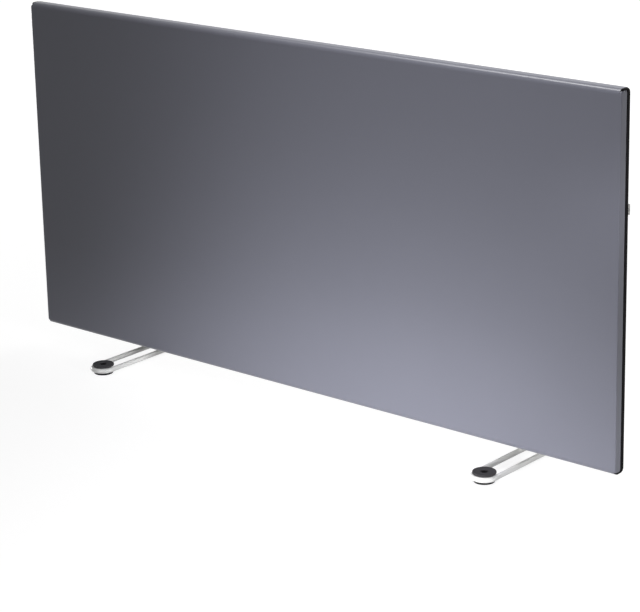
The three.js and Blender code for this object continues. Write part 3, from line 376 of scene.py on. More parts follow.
def combined(mesh, tools, operation):
    """The mesh with the tools cut away from it, or added to it."""
    meshes = [mesh, joined(*tools)]
    target, tool = (bpy.data.objects.new("work", m) for m in meshes)
    for thing in (target, tool):
        bpy.context.scene.collection.objects.link(thing)
    step = target.modifiers.new("combine", "BOOLEAN")
    step.solver = "MANIFOLD"
    step.operation = operation
    step.object = tool
    bpy.context.view_layer.update()
    made = bpy.data.meshes.new_from_object(target.evaluated_get(bpy.context.evaluated_depsgraph_get()))
    for thing in (target, tool):
        bpy.data.objects.remove(thing)
    return made


for side in ("left", "right"):
    box_low, box_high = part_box(f"{side}_side_frame")
    near, far = sorted((abs(box_low.x), abs(box_high.x)))
    radii = (PANEL_ROLL, FRAME_CORNER, FRAME_CORNER, PANEL_ROLL)
    whole = capped((y_front, z_low, y_rear, z_high), radii, sheet_end + CLOSE_FIT, far, FRAME_EDGE)
    gap = CAP_INSET - CLEARANCE
    rear = cap_box[2] + CLEARANCE
    corner = CAP_REAR_CORNER + CLEARANCE
    notch = rectangle(y_front - OVERRUN, z_low + gap, rear, z_high - gap, (0, corner, corner, 0))
    strip = combined(whole, [run([notch], ALONG_X, sheet_end - OVERRUN, far + OVERRUN)], "DIFFERENCE")
    gap = LIP_HEIGHT + CLEARANCE
    web = rectangle(y_rear - FRAME_WEB, z_low + gap, y_rear, z_high - gap)
    frame_mesh = joined(strip, run([web], ALONG_X, near, far - 2 * FRAME_EDGE))
    piece(f"{side}_frame", handed(frame_mesh, side), black_trim, node=f"{side}_side_frame")

# REAR SHELL
# One steel sheet folded to a box that is open at both ends, its flanges screwed to the panel's lips. It is
# punched for the air, the wall screws and the gland, stiffened by two pressed beads, and powder coated white.
SHELL_SHEET = 0.0012
SHELL_BEND = 0.004
FLANGE_BEND = 0.0015
FLANGE_HEIGHT = 0.008
SLOT_WIDTH = 0.009
SLOT_LENGTH = 0.028
SLOT_PITCH = 0.022
SLOT_COUNT = 28
BEAD_HEIGHTS = (0.196, 0.276)
BEAD_HALF = 0.280
BEAD_WIDTH = 0.0096
BEAD_RISE = 0.0015
BEAD_STEPS = 96
KEY_ENTRY = 0.0065
KEY_NECK = 0.0032
KEY_RISE = 0.015
KEY_ROOM = 0.003
GLAND_TUBE = 0.0068
white_paint = coated("white_paint", (0.80, 0.80, 0.785), (0.74, 0.74, 0.725), 1100.0, 0.00003, 0.42, 7.0)


def keyhole(x, z, margin=0.0):
    """A round entry with a narrow neck above it, both drawn larger by a margin."""
    neck, radius = KEY_NECK + margin, KEY_ENTRY + margin
    shoulder = math.degrees(math.asin(neck / radius))
    entry = arc(x, z, radius, 90 + shoulder, 450 - shoulder, 40)
    return entry + arc(x, z + KEY_RISE, neck, 0, 180, 20)


def circle(x, y, radius, steps=40):
    """A closed round outline."""
    return arc(x, y, radius, 0, 360, steps)[:-1]


def middle_of(solid):
    """The middle of the box round a solid of the model."""
    low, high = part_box(solid)
    return (low + high) / 2


low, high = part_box("rear_shell")
shell_end, shell_back, shell_front = high.x, high.y, low.y
shell_low, shell_high = low.z + FLANGE_HEIGHT, high.z - FLANGE_HEIGHT
half = SHELL_SHEET / 2
flange_y, back_y = shell_front + half, shell_back - half
shell_section = folded_section(
    [(flange_y, high.z), (flange_y, shell_high - half), (back_y, shell_high - half),
     (back_y, shell_low + half), (flange_y, shell_low + half), (flange_y, low.z)],
    [FLANGE_BEND, SHELL_BEND - half, SHELL_BEND - half, FLANGE_BEND], SHELL_SHEET,
)
shell = run([shell_section], ALONG_X, -shell_end, shell_end)
inner_back = shell_back - SHELL_SHEET
bead_circle = (BEAD_WIDTH ** 2 / 4 + BEAD_RISE ** 2) / (2 * BEAD_RISE)
cutters, ribs = [], []
for z in BEAD_HEIGHTS:
    rib_half = BEAD_WIDTH / 2 + SHELL_SHEET
    rib = rectangle(-BEAD_HALF - rib_half, z - rib_half, BEAD_HALF + rib_half, z + rib_half, (rib_half,) * 4)
    ribs.append(run([rib], ALONG_Y, inner_back - BEAD_RISE, shell_back - half))
    hollow_y = shell_back - BEAD_RISE + bead_circle
    capsule = bmesh.new()
    bmesh.ops.create_uvsphere(capsule, u_segments=BEAD_STEPS, v_segments=BEAD_STEPS, radius=bead_circle)
    bmesh.ops.rotate(capsule, verts=capsule.verts, matrix=Matrix.Rotation(QUARTER_TURN, 3, "Y"))
    reach = BEAD_HALF + BEAD_WIDTH / 2 - bead_circle
    for vertex in capsule.verts:
        vertex.co.x += math.copysign(reach, vertex.co.x) if abs(vertex.co.x) > WELD else 0
        vertex.co += Vector((0, hollow_y, z))
    cutters.append(written(capsule, bpy.data.meshes.new("groove")))
slot_y = (shell_front + shell_back) / 2
end_radius = SLOT_WIDTH / 2
for wall in (shell_high - SHELL_SHEET, shell_low):
    for i in range(SLOT_COUNT):
        x = (i - (SLOT_COUNT - 1) / 2) * SLOT_PITCH
        reach = SLOT_LENGTH / 2
        slot = rectangle(x - end_radius, slot_y - reach, x + end_radius, slot_y + reach, (end_radius,) * 4)
        cutters.append(run([slot], ALONG_Z, wall - OVERRUN, wall + SHELL_SHEET + OVERRUN))
back_from, back_to = inner_back - BEAD_RISE - OVERRUN, shell_back + OVERRUN
for side in ("left", "right"):
    centre = middle_of(f"{side}_hanger_plate")
    cutters.append(run([keyhole(centre.x, centre.z, KEY_ROOM)], ALONG_Y, back_from, back_to))
gland_x, _, gland_z = middle_of("cable_gland")
cutters.append(run([circle(gland_x, gland_z, GLAND_TUBE + CLEARANCE)], ALONG_Y, back_from, back_to))
shell = combined(combined(shell, ribs, "UNION"), cutters, "DIFFERENCE")
piece("shell_sheet", shell, white_paint, node="rear_shell")

# CHEEKS
# White mouldings that close the two ends of the shell. A hollow tongue plugs into the fold, and the right one
# has a window behind the control plate, with four posts inside for the circuit board.
CHEEK_CORNER = 0.0015
CHEEK_EDGE = 0.0008
CHEEK_PLATE = 0.0032
CHEEK_TONGUE_WALL = 0.0016
WINDOW_MARGIN = 0.002
POST_RADIUS = 0.0022
POST_INSET = 0.003
POST_LENGTH = 0.0102
CHEEK_TONGUE = 0.007
white_plastic = coated("white_plastic", (0.79, 0.785, 0.76), (0.74, 0.735, 0.71), 1700.0, 0.00002, 0.38, 11.0)


def cheek_outline(margin):
    """The outline of the shell's open end, drawn smaller by a margin."""
    bend = SHELL_BEND - margin
    front, back = shell_front + margin, shell_back - margin
    radii = (CHEEK_CORNER, bend, bend, CHEEK_CORNER)
    return rectangle(front, shell_low + margin, back, shell_high - margin, radii)


fascia_low, fascia_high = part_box("control_fascia")
board_low, board_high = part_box("circuit_board")
for side in ("left", "right"):
    box_low, box_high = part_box(f"{side}_cheek")
    far = max(abs(box_low.x), abs(box_high.x))
    inside = far - CHEEK_PLATE
    window, posts = [], []
    if side == "right":
        window = [rectangle(
            fascia_low.y + WINDOW_MARGIN, fascia_low.z + WINDOW_MARGIN, fascia_high.y - WINDOW_MARGIN,
            fascia_high.z - WINDOW_MARGIN, (WINDOW_MARGIN,) * 4,
        )]
        places = [
            (y, z) for y in (board_low.y + POST_INSET, board_high.y - POST_INSET)
            for z in (board_low.z + POST_INSET, board_high.z - POST_INSET)
        ]
        post_end = inside - POST_LENGTH
        posts = [run([circle(y, z, POST_RADIUS, 24)], ALONG_X, post_end, inside) for y, z in places]
    plate = run([cheek_outline(0), *window], ALONG_X, inside, far, CHEEK_EDGE, 5)
    margin = SHELL_SHEET + CLEARANCE
    ring = [cheek_outline(margin), cheek_outline(margin + CHEEK_TONGUE_WALL)]
    tongue = run(ring, ALONG_X, inside - CHEEK_TONGUE, inside + OVERRUN)
    cheek = joined(plate, tongue, *posts)
    piece(f"{side}_cheek_cover", handed(cheek, side), white_plastic, node=f"{side}_cheek")

# BAFFLE, ELEMENT AND ITS CARRIERS
# A zinc-plated baffle keeps the hot air off the panel. The element is an aluminium extrusion round a steel
# rod, carried by two folded brackets through ceramic bushes, with an overheat cut-out above it.
LINE_SHARE = 0.5
CLOUD_SHARE = 0.5
DRAWN_METALLIC = 0.9
metal, given, place = group(
    "drawn_metal",
    [(COLOR, "Light", (1, 1, 1, 1)), (COLOR, "Dark", (0.6, 0.6, 0.6, 1)),
     (VECTOR, "Line Scale", (8, 900, 900)), (FLOAT, "Roughness", 0.4), (FLOAT, "Roughness Drift", 0.15)],
)
stretch = node(metal, "ShaderNodeMapping", place)
metal.links.new(given["Line Scale"], stretch.inputs["Scale"])
lines = node(metal, "ShaderNodeTexNoise", stretch.outputs["Vector"], Scale=1.0, Detail=5.0, Roughness=0.6)
cloud = node(metal, "ShaderNodeTexNoise", place, Scale=35.0, Detail=4.0, Roughness=0.6)
part = node(metal, "ShaderNodeMath", cloud.outputs["Fac"], CLOUD_SHARE, operation="MULTIPLY")
blend = node(
    metal, "ShaderNodeMath", lines.outputs["Fac"], LINE_SHARE, part.outputs[0], operation="MULTIPLY_ADD"
)
end_group(metal, given, blend.outputs[0], blend.outputs[0], lines.outputs["Fac"])


def drawn(name, light, dark, line_scale, depth, roughness):
    """Bare or plated metal whose fine lines run the way it was drawn or rolled."""
    given = {"Light": (*light, 1), "Dark": (*dark, 1), "Line Scale": line_scale, "Roughness": roughness}
    return skinned(name, metal, given, depth, DRAWN_METALLIC)


def finish_nodes(material, *names):
    """Gives solids of the model their finish, and leaves their shapes as they are."""
    for name in names:
        materials = frame["nodes"][name].data.materials
        materials.clear()
        materials.append(material)


zinc_steel = drawn("zinc_steel", (0.56, 0.58, 0.60), (0.40, 0.42, 0.44), (60, 500, 60), 0.00001, 0.38)
fin_aluminium = drawn("fin_aluminium", (0.66, 0.67, 0.68), (0.50, 0.51, 0.52), (6, 1400, 1400), 0.00002, 0.36)
rod_steel = drawn("rod_steel", (0.30, 0.29, 0.28), (0.20, 0.19, 0.18), (10, 1600, 1600), 0.00001, 0.34)
bush_ceramic = coated("bush_ceramic", (0.76, 0.71, 0.61), (0.68, 0.62, 0.52), 2600.0, 0.00004, 0.7)
black_plastic = coated("black_plastic", (0.017, 0.017, 0.019), (0.011, 0.011, 0.012), 1800.0, 0.00003, 0.45)
wire_sleeve = coated("wire_sleeve", (0.66, 0.64, 0.60), (0.58, 0.56, 0.52), 1200.0, 0.00003, 0.55)
finish_nodes(zinc_steel, "baffle_plate", "left_element_bracket", "right_element_bracket", "cutout_plate")
finish_nodes(fin_aluminium, "heating_element")
finish_nodes(rod_steel, "heating_rod")
finish_nodes(bush_ceramic, "left_element_bush", "right_element_bush")
finish_nodes(black_plastic, "overheat_cutout")
finish_nodes(wire_sleeve, "left_wire", "right_wire")

# CIRCUIT BOARD AND WHAT IT CARRIES
# A green glass-fibre board on the cheek's posts, with the push switches and the display block on its face,
# and a relay, a power supply and the terminal block for the element's wires soldered to its back.
laminate = coated("board_laminate", (0.022, 0.105, 0.050), (0.014, 0.074, 0.034), 1300.0, 0.00002, 0.40, 60.0)
finish_nodes(laminate, "circuit_board")
finish_nodes(black_plastic, "relay", "power_supply")
finish_nodes(white_plastic, "terminal_block")

# CONTROL PLATE
# A thin white plate glued over the window of the right cheek. Its edges and the rims of its openings are
# eased, and it frames the mains switch, the display and three push buttons.
FASCIA_CORNER = 0.004
FASCIA_EDGE = 0.0003
BUTTON_RADIUS = 0.0035
BUTTON_GAP = 0.0003
DISPLAY_CORNER = 0.0015
ROCKER_LENGTH = 0.013
ROCKER_WIDTH = 0.0102
ROCKER_SIDE_GAP = 0.0003
ROCKER_END_GAP = 0.0008
SWITCH_WALL = 0.0012
SMALL_CORNER = 0.0002
pivot = Vector(frame["joints"][0]["pos_m"])
x_fascia = fascia_high.x
lens_low, lens_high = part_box("display_window")
button_bodies = (("plus_button", "plus"), ("minus_button", "minus"), ("mode_button", "mode"))
button_spots = [middle_of(solid) for solid, _ in button_bodies]
switch_length = ROCKER_LENGTH + 2 * (ROCKER_END_GAP + SWITCH_WALL)
switch_width = ROCKER_WIDTH + 2 * (ROCKER_SIDE_GAP + SWITCH_WALL)


def centred(x, y, width, height, radius):
    """A closed outline of a rectangle round its middle, with round corners."""
    return rectangle(x - width / 2, y - height / 2, x + width / 2, y + height / 2, (radius,) * 4)


plate = rectangle(fascia_low.y, fascia_low.z, fascia_high.y, fascia_high.z, (FASCIA_CORNER,) * 4)
margin = 2 * CLEARANCE
switch_hole = centred(pivot.y, pivot.z, switch_length + margin, switch_width + margin, SMALL_CORNER)
lens_hole = rectangle(
    lens_low.y - CLEARANCE, lens_low.z - CLEARANCE, lens_high.y + CLEARANCE, lens_high.z + CLEARANCE,
    (DISPLAY_CORNER,) * 4,
)
button_holes = [circle(spot.y, spot.z, BUTTON_RADIUS + BUTTON_GAP) for spot in button_spots]
outlines = [plate, switch_hole, lens_hole, *button_holes]
control_plate = run(outlines, ALONG_X, fascia_low.x, x_fascia, FASCIA_EDGE)
piece("control_plate", control_plate, white_plastic, node="control_fascia")

# DISPLAY
# A smoked window let into the control plate, its face polished and its rim rounded. Two unlit digits just
# show on it as thin bars.
LENS_EDGE = 0.0002
DIGIT_HEIGHT = 0.0074
DIGIT_WIDTH = 0.0036
DIGIT_STROKE = 0.00055
DIGIT_SHIFT = 0.0026
DIGIT_PROUD = 0.00003
BAR_TRIM = 0.4 * DIGIT_STROKE
INK_ROOT = 0.0002
glass = coated(
    "display_glass", (0.010, 0.011, 0.013), (0.007, 0.008, 0.009), 150.0, 0.000002, 0.07, 90.0, 0.05,
    Coat_Weight=0.6, Coat_Roughness=0.03,
)
segment_ink = coated("display_glass", (0.045, 0.047, 0.050), (0.035, 0.037, 0.040), 900.0, 0.000001, 0.12)
lens = rectangle(lens_low.y, lens_low.z, lens_high.y, lens_high.z, (DISPLAY_CORNER - CLEARANCE,) * 4)
piece("display_lens", run([lens], ALONG_X, lens_low.x, lens_high.x, LENS_EDGE), glass, node="display_window")


def segment(y, z, length, upright):
    """One bar of a digit: a flat six-sided stroke with pointed ends."""
    tip, half = length / 2, DIGIT_STROKE / 2
    points = [(-tip, 0), (half - tip, -half), (tip - half, -half)]
    points += [(-a, -b) for a, b in points]
    placed = [(y + b, z + a) if upright else (y + a, z + b) for a, b in points]
    return placed[::-1] if upright else placed


bars = []
_, lens_y, lens_z = middle_of("display_window")
reach, rise = DIGIT_WIDTH - BAR_TRIM, DIGIT_HEIGHT / 2 - BAR_TRIM
for spot in (lens_y - DIGIT_SHIFT, lens_y + DIGIT_SHIFT):
    bars += [segment(spot, lens_z + step * DIGIT_HEIGHT / 2, reach, False) for step in (-1, 0, 1)]
    for way in (-1, 1):
        edge_y = spot + way * DIGIT_WIDTH / 2
        bars += [segment(edge_y, lens_z + step * DIGIT_HEIGHT / 4, rise, True) for step in (-1, 1)]
face_x = lens_high.x
digits = joined(*[run([bar], ALONG_X, face_x - INK_ROOT, face_x + DIGIT_PROUD) for bar in bars])
piece("display_digits", digits, segment_ink)

# MAINS SWITCH
# A white moulded body that snaps into the control plate, its rim resting on the face. The rocker turns on a
# pin moulded into it, its two slopes meet in a soft hollow, and its marks are printed black.
ROCKER_UNDER = 0.001
ROCKER_END = 0.0063
ROCKER_MIDDLE = 0.0049
ROCKER_CORNER = 0.0008
ROCKER_EDGE = 0.0003
ROCKER_HOLLOW = 0.008
ROCKER_TILT = 8
WELL_DEPTH = 0.0013
WELL_OVERLAP = 0.00005
RIM = 0.0008
RIM_EDGE = 0.00025
PIN_RADIUS = 0.0009
PIN_REACH = 0.0008
MARK_PROUD = 0.00005
LINE_LENGTH = 0.0034
LINE_WIDTH = 0.0006
RING_OUTER = 0.0017
RING_INNER = 0.0012
body_low, body_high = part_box("switch_body")
well = centred(
    pivot.y, pivot.z, ROCKER_LENGTH + 2 * ROCKER_END_GAP, ROCKER_WIDTH + 2 * ROCKER_SIDE_GAP, SMALL_CORNER
)
case = centred(pivot.y, pivot.z, switch_length, switch_width, SMALL_CORNER)
rim = centred(pivot.y, pivot.z, switch_length + 2 * RIM, switch_width + 2 * RIM, RIM)
floor_x = x_fascia - ROCKER_UNDER - WELL_DEPTH
switch = joined(
    run([rim, well], ALONG_X, x_fascia + CLEARANCE, body_high.x, RIM_EDGE),
    run([case, well], ALONG_X, floor_x, x_fascia + CLEARANCE + RIM_EDGE),
    run([case], ALONG_X, body_low.x, floor_x + WELL_OVERLAP),
)
piece("switch_case", switch, white_plastic, node="switch_body")


def filleted(corners, steps=8):
    """A closed outline whose corners, each given as x, y and a radius, are rounded."""
    points = []
    for i, (x, y, radius) in enumerate(corners):
        here = Vector((x, y))
        if radius <= 0:
            points.append((x, y))
            continue
        before = (Vector(corners[i - 1][:2]) - here).normalized()
        after = (Vector(corners[(i + 1) % len(corners)][:2]) - here).normalized()
        half_angle = before.angle(after) / 2
        centre = here + (before + after).normalized() * radius / math.sin(half_angle)
        start = here + before * radius / math.tan(half_angle) - centre
        turn = -1 if before.cross(after) > 0 else 1
        first = math.degrees(math.atan2(start.y, start.x))
        sweep = turn * (180 - 2 * math.degrees(half_angle))
        points += arc(centre.x, centre.y, radius, first, first + sweep, steps)
    return points


half = ROCKER_LENGTH / 2
rocker_outline = filleted([
    (-ROCKER_UNDER, -half, 0), (ROCKER_END, -half, ROCKER_CORNER), (ROCKER_MIDDLE, 0, ROCKER_HOLLOW),
    (ROCKER_END, half, ROCKER_CORNER), (-ROCKER_UNDER, half, 0),
])
rocker = run([rocker_outline], ALONG_Z, -ROCKER_WIDTH / 2, ROCKER_WIDTH / 2, ROCKER_EDGE, 5)
pin_half = ROCKER_WIDTH / 2 + PIN_REACH
rocker = joined(rocker, run([circle(0, 0, PIN_RADIUS, 24)], ALONG_Z, -pin_half, pin_half))
turn = Matrix.Translation(pivot) @ Matrix.Rotation(math.radians(-ROCKER_TILT), 4, "Z")
rocker.transform(turn)
piece("rocker_key", rocker, white_plastic, body="rocker", node="power_rocker")
mark_ink = coated("black_plastic", (0.016, 0.016, 0.017), (0.012, 0.012, 0.013), 900.0, 0.000004, 0.5)
slope = math.atan2(ROCKER_END - ROCKER_MIDDLE, half)
for name, way, shape in (
    ("mark_on", -1, [centred(0, 0, LINE_WIDTH, LINE_LENGTH, SMALL_CORNER)]),
    ("mark_off", 1, [circle(0, 0, RING_OUTER), circle(0, 0, RING_INNER)]),
):
    mark = run(shape, ALONG_X, -INK_ROOT, MARK_PROUD)
    middle = Vector(((ROCKER_END + ROCKER_MIDDLE) / 2, way * half / 2, 0))
    mark.transform(turn @ Matrix.Translation(middle) @ Matrix.Rotation(-way * slope, 4, "Z"))
    piece(name, mark, mark_ink, body="rocker")

# PUSH BUTTONS
# Three moulded grey caps with a shallow flat recess on top and a flange behind the plate, each pressing a
# small switch on the board. A plus, a minus and a ring are printed in the recesses.
BUTTON_EDGE = 0.0003
BUTTON_RECESS = 0.00025
RECESS_SHARE = 0.8
RECESS_EDGE = 0.0004
BUTTON_STEM = 0.0017
STEM_EDGE = 0.0002
BUTTON_FLANGE = 0.0047
BUTTON_FLANGE_THICKNESS = 0.001
FLANGE_EDGE = 0.0001
MARK_LENGTH = 0.0032
MARK_STROKE = 0.0006


def turned(profile, steps=48):
    """A turned solid along z, from radius and height pairs that run from axis to axis or close in a ring."""
    vertices, faces, rings = [], [], []
    for radius, height in profile:
        count = 1 if radius < HAIR else steps
        rings.append(range(len(vertices), len(vertices) + count))
        for i in range(count):
            angle = 2 * math.pi * i / steps
            vertices.append((radius * math.cos(angle), radius * math.sin(angle), height))
    for lower, upper in zip(rings, rings[1:]):
        for i in range(steps):
            corners = ((lower, i), (lower, i + 1), (upper, i + 1), (upper, i))
            faces.append(list(dict.fromkeys(ring[turn % len(ring)] for ring, turn in corners)))
    mesh = bpy.data.meshes.new("turned")
    mesh.from_pydata(vertices, [], [face for face in faces if len(face) > 2])
    work = bmesh.new()
    work.from_mesh(mesh)
    bmesh.ops.recalc_face_normals(work, faces=work.faces)
    return written(work, mesh)


def profile_of(corners, steps=5):
    """An open profile whose corners, given as radius, height and rounding, are eased."""
    return filleted([(*corners[0][:2], 0), *corners[1:-1], (*corners[-1][:2], 0)], steps)


UPRIGHT_TO_X = Matrix.Rotation(QUARTER_TURN, 4, "Y")
grey_button = coated("grey_button", (0.30, 0.32, 0.345), (0.26, 0.28, 0.30), 1900.0, 0.00002, 0.42)
arm, stroke = MARK_LENGTH / 2, MARK_STROKE / 2
cross = [(stroke, -arm), (stroke, -stroke), (arm, -stroke), (arm, stroke), (stroke, stroke), (stroke, arm)]
cross += [(-x, -y) for x, y in cross]
button_marks = {
    "plus": [cross],
    "minus": [centred(0, 0, MARK_LENGTH, MARK_STROKE, SMALL_CORNER)],
    "mode": [circle(0, 0, arm), circle(0, 0, arm - MARK_STROKE)],
}
for (solid, body), spot in zip(button_bodies, button_spots):
    box_low, box_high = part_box(solid)
    top, stem_end = box_high.x - x_fascia, box_low.x - x_fascia
    flange_top = -(x_fascia - fascia_low.x) - CLEARANCE
    flange_under = flange_top - BUTTON_FLANGE_THICKNESS
    brim, recess = BUTTON_RADIUS * RECESS_SHARE, top - BUTTON_RECESS
    cap = turned(profile_of([
        (0, stem_end, 0), (BUTTON_STEM, stem_end, STEM_EDGE), (BUTTON_STEM, flange_under, 0),
        (BUTTON_FLANGE, flange_under, FLANGE_EDGE), (BUTTON_FLANGE, flange_top, FLANGE_EDGE),
        (BUTTON_RADIUS, flange_top, 0), (BUTTON_RADIUS, top, BUTTON_EDGE), (brim, top, RECESS_EDGE),
        (brim - BUTTON_RECESS, recess, RECESS_EDGE), (0, recess, 0),
    ]))
    there = Matrix.Translation((x_fascia, spot.y, spot.z))
    cap.transform(there @ UPRIGHT_TO_X)
    piece(f"{body}_cap", cap, grey_button, body=body, node=solid)
    mark = run(button_marks[body], ALONG_X, recess - BUTTON_RECESS, recess + MARK_PROUD)
    mark.transform(there)
    piece(f"{body}_mark", mark, mark_ink, body=body)

# HANGER PLATES
# Two zinc-plated steel plates on the back of the shell, each with a keyhole that drops over a wall screw. The
# shell is cut wider there, so that the head of the screw has room.
HANGER_CORNER = 0.004
HANGER_EDGE = 0.0004
for side in ("left", "right"):
    box_low, box_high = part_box(f"{side}_hanger_plate")
    centre = middle_of(f"{side}_hanger_plate")
    outline = rectangle(box_low.x, box_low.z, box_high.x, box_high.z, (HANGER_CORNER,) * 4)
    plate = run([outline, keyhole(centre.x, centre.z)], ALONG_Y, box_low.y, box_high.y, HANGER_EDGE)
    piece(f"{side}_hanger", plate, zinc_steel, node=f"{side}_hanger_plate")

# SCREWS
# Zinc-plated pan heads with a cross recess: four small ones hold the shell's flanges to the panel's lips, and
# two larger ones hold each bracket of the feet to the shell.
FRONT_SCREW = (0.0015, 0.002)
BRACKET_SCREW = (0.0023, 0.0028)
POINT_SHARE = 0.6
RIM_SHARE = 0.35
CROSS_LENGTH_SHARE = 0.56
CROSS_WIDTH_SHARE = 0.13
CROSS_DEPTH_SHARE = 0.5
CROSS_TAPER = 0.45
UPRIGHT_TO_Y = Matrix.Rotation(-QUARTER_TURN, 4, "X")


def quarter(width, height, steps):
    """Points along a quarter of an oval, from its side up to its top."""
    angles = [math.radians(90 * i / steps) for i in range(steps + 1)]
    return [(width * math.cos(a), height * math.sin(a)) for a in angles]


def cross_screw(solid, shank, head_height):
    """A pan-head screw that points forward in the box of a solid, its head at the rear."""
    box_low, box_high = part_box(solid)
    middle = middle_of(solid)
    head = (box_high.x - box_low.x) / 2
    tip, seat = box_low.y, box_high.y - head_height
    top = seat + head_height
    point, rim = shank * POINT_SHARE, head_height * RIM_SHARE
    dome = [(x, seat + rim + z) for x, z in quarter(head, head_height - rim, 10)]
    profile = [(0, tip), (point, tip), (shank, tip + point), (shank, seat)]
    profile += [(head, seat), *dome[:-1], (0, top)]
    screw = turned(profile, 40)
    length, width = 2 * head * CROSS_LENGTH_SHARE, 2 * head * CROSS_WIDTH_SHARE
    depth = head_height * CROSS_DEPTH_SHARE
    for across, along in ((length, width), (width, length)):
        blade = bmesh.new()
        bmesh.ops.create_cube(blade, size=1)
        for vertex in blade.verts:
            x, y, z = vertex.co
            spread = 1 if z > 0 else CROSS_TAPER
            vertex.co = (x * across * spread, y * along * spread, top + 2 * depth * z)
        screw = combined(screw, [written(blade, bpy.data.meshes.new("blade"))], "DIFFERENCE")
    screw.transform(Matrix.Translation((middle.x, 0, middle.z)) @ UPRIGHT_TO_Y)
    return screw


screw_sets = [(f"front_screw_{i}", FRONT_SCREW) for i in range(1, 5)]
screw_sets += [(f"{side}_bracket_screw_{i}", BRACKET_SCREW) for side in ("left", "right") for i in (1, 2)]
for name, (shank, head_height) in screw_sets:
    piece(f"{name}_head", cross_screw(name, shank, head_height), zinc_steel, node=name)

# SENSOR POD
# A small white moulded box under the shell that holds the room sensor away from the hot metal. Slots through
# its bottom, its front and its back let the room's air past, and its top is open.
POD_CORNER = 0.003
POD_WALL = 0.0015
POD_EDGE = 0.0005
POD_SLOT_WIDTH = 0.0014
POD_SLOT_PITCH = 0.0032
POD_SLOTS = 4
low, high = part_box("sensor_pod")
middle = middle_of("sensor_pod")
outline = rectangle(low.x, low.y, high.x, high.y, (POD_CORNER,) * 4)
wall = POD_WALL
hollow = rectangle(low.x + wall, low.y + wall, high.x - wall, high.y - wall, (POD_CORNER - wall,) * 4)
pod = run([outline], ALONG_Z, low.z, high.z, POD_EDGE)
pod = combined(pod, [run([hollow], ALONG_Z, low.z + wall, high.z + OVERRUN)], "DIFFERENCE")
slots = []
half = POD_SLOT_WIDTH / 2
for i in range(POD_SLOTS):
    x = middle.x + (i - (POD_SLOTS - 1) / 2) * POD_SLOT_PITCH
    slot = rectangle(x - half, low.y - OVERRUN, x + half, high.y + OVERRUN)
    slots.append(run([slot], ALONG_Z, low.z - OVERRUN, middle.z))
piece("pod_box", combined(pod, slots, "DIFFERENCE"), white_plastic, node="sensor_pod")

# CABLE GLAND
# A black moulded gland through the shell's back, held by a six-sided nut inside. Its round collar sits on the
# sheet, and its ribbed nose is left open, ready to grip a mains cord.
GLAND_BORE = 0.0042
GLAND_COLLAR = 0.011
GLAND_COLLAR_THICKNESS = 0.003
GLAND_COLLAR_EDGE = 0.0006
GLAND_OVERLAP = 0.0002
GLAND_NOSE = 0.008
GLAND_RIBS = 20
GLAND_RIB = 0.0004
GLAND_LIP = 0.0019
GLAND_MOUTH_EDGE = 0.0006
low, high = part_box("cable_gland")
collar_back = shell_back + GLAND_COLLAR_THICKNESS
collar_front = shell_back + CLEARANCE
bore = circle(gland_x, gland_z, GLAND_BORE)
tube = run([circle(gland_x, gland_z, GLAND_TUBE), bore], ALONG_Y, low.y, collar_front + GLAND_OVERLAP)
collar_outline = circle(gland_x, gland_z, GLAND_COLLAR, 64)
collar = run([collar_outline, bore], ALONG_Y, collar_front, collar_back, GLAND_COLLAR_EDGE)
valley = GLAND_NOSE - GLAND_RIB
ribbed = []
for i in range(GLAND_RIBS):
    for share, radius in ((0.0, GLAND_NOSE), (0.3, GLAND_NOSE), (0.5, valley), (0.8, valley)):
        angle = 2 * math.pi * (i + share) / GLAND_RIBS
        ribbed.append((gland_x + radius * math.cos(angle), gland_z + radius * math.sin(angle)))
nose_middle = (collar_back + high.y) / 2
nose = run([ribbed, bore], ALONG_Y, collar_back - GLAND_OVERLAP, nose_middle)
rise, lip = high.y - nose_middle, GLAND_BORE + GLAND_LIP
mouth = [(GLAND_BORE, -OVERRUN), (valley, -OVERRUN), (valley, 0.0)]
mouth += [(lip + x, z) for x, z in quarter(valley - lip, rise, 8)[1:]]
mouth += [(GLAND_BORE + GLAND_MOUTH_EDGE, rise), (GLAND_BORE, rise - GLAND_MOUTH_EDGE), mouth[0]]
tip = turned(mouth, 64)
tip.transform(Matrix.Translation((gland_x, nose_middle, gland_z)) @ UPRIGHT_TO_Y)
piece("gland_body", joined(tube, collar, nose, tip), black_plastic, node="cable_gland")
finish_nodes(black_plastic, "gland_nut")

# FEET
# Each foot is a closed loop of white-coated round rod on two pads, carried by a folded steel bracket that is
# screwed to the back of the shell. A rubber pad below and a dished cap above clamp each bend of the rod.
ROD_RADIUS = 0.00275
BRACKET_SHEET = 0.003
BRACKET_BEND = 0.006
BRACKET_EDGE = 0.0005
PAD_RADIUS = 0.0106
PAD_THICKNESS = 0.0024
PAD_FOOT_EDGE = 0.0006
PAD_EDGE = 0.0003
CAP_RADIUS = 0.0118
CAP_UNDER_EDGE = 0.0006
CAP_TOP_EDGE = 0.0007
CAP_BRIM = 0.0013
CAP_SLOPE = 0.0005
CAP_SLOPE_EDGE = 0.0003
CAP_DISH = 0.0004
CAP_WELL = 0.0038
CAP_WELL_EDGE = 0.0001
PAD_SCREW_SHANK = 0.0016
PAD_SCREW_TIP_EDGE = 0.0003
PAD_SCREW_HEAD = 0.0027
PAD_SCREW_HEAD_HEIGHT = 0.0007
PAD_SCREW_UNDER_EDGE = 0.0001
PAD_SCREW_TOP_EDGE = 0.0002
PAD_SOCKET = 0.0015
PAD_SOCKET_DEPTH = 0.0005
wire_enamel = coated(
    "wire_enamel", (0.86, 0.86, 0.855), (0.83, 0.83, 0.82), 1100.0, 0.00001, 0.4,
    Coat_Weight=0.5, Coat_Roughness=0.25,
)
wire_enamel["slot"] = "white_paint"
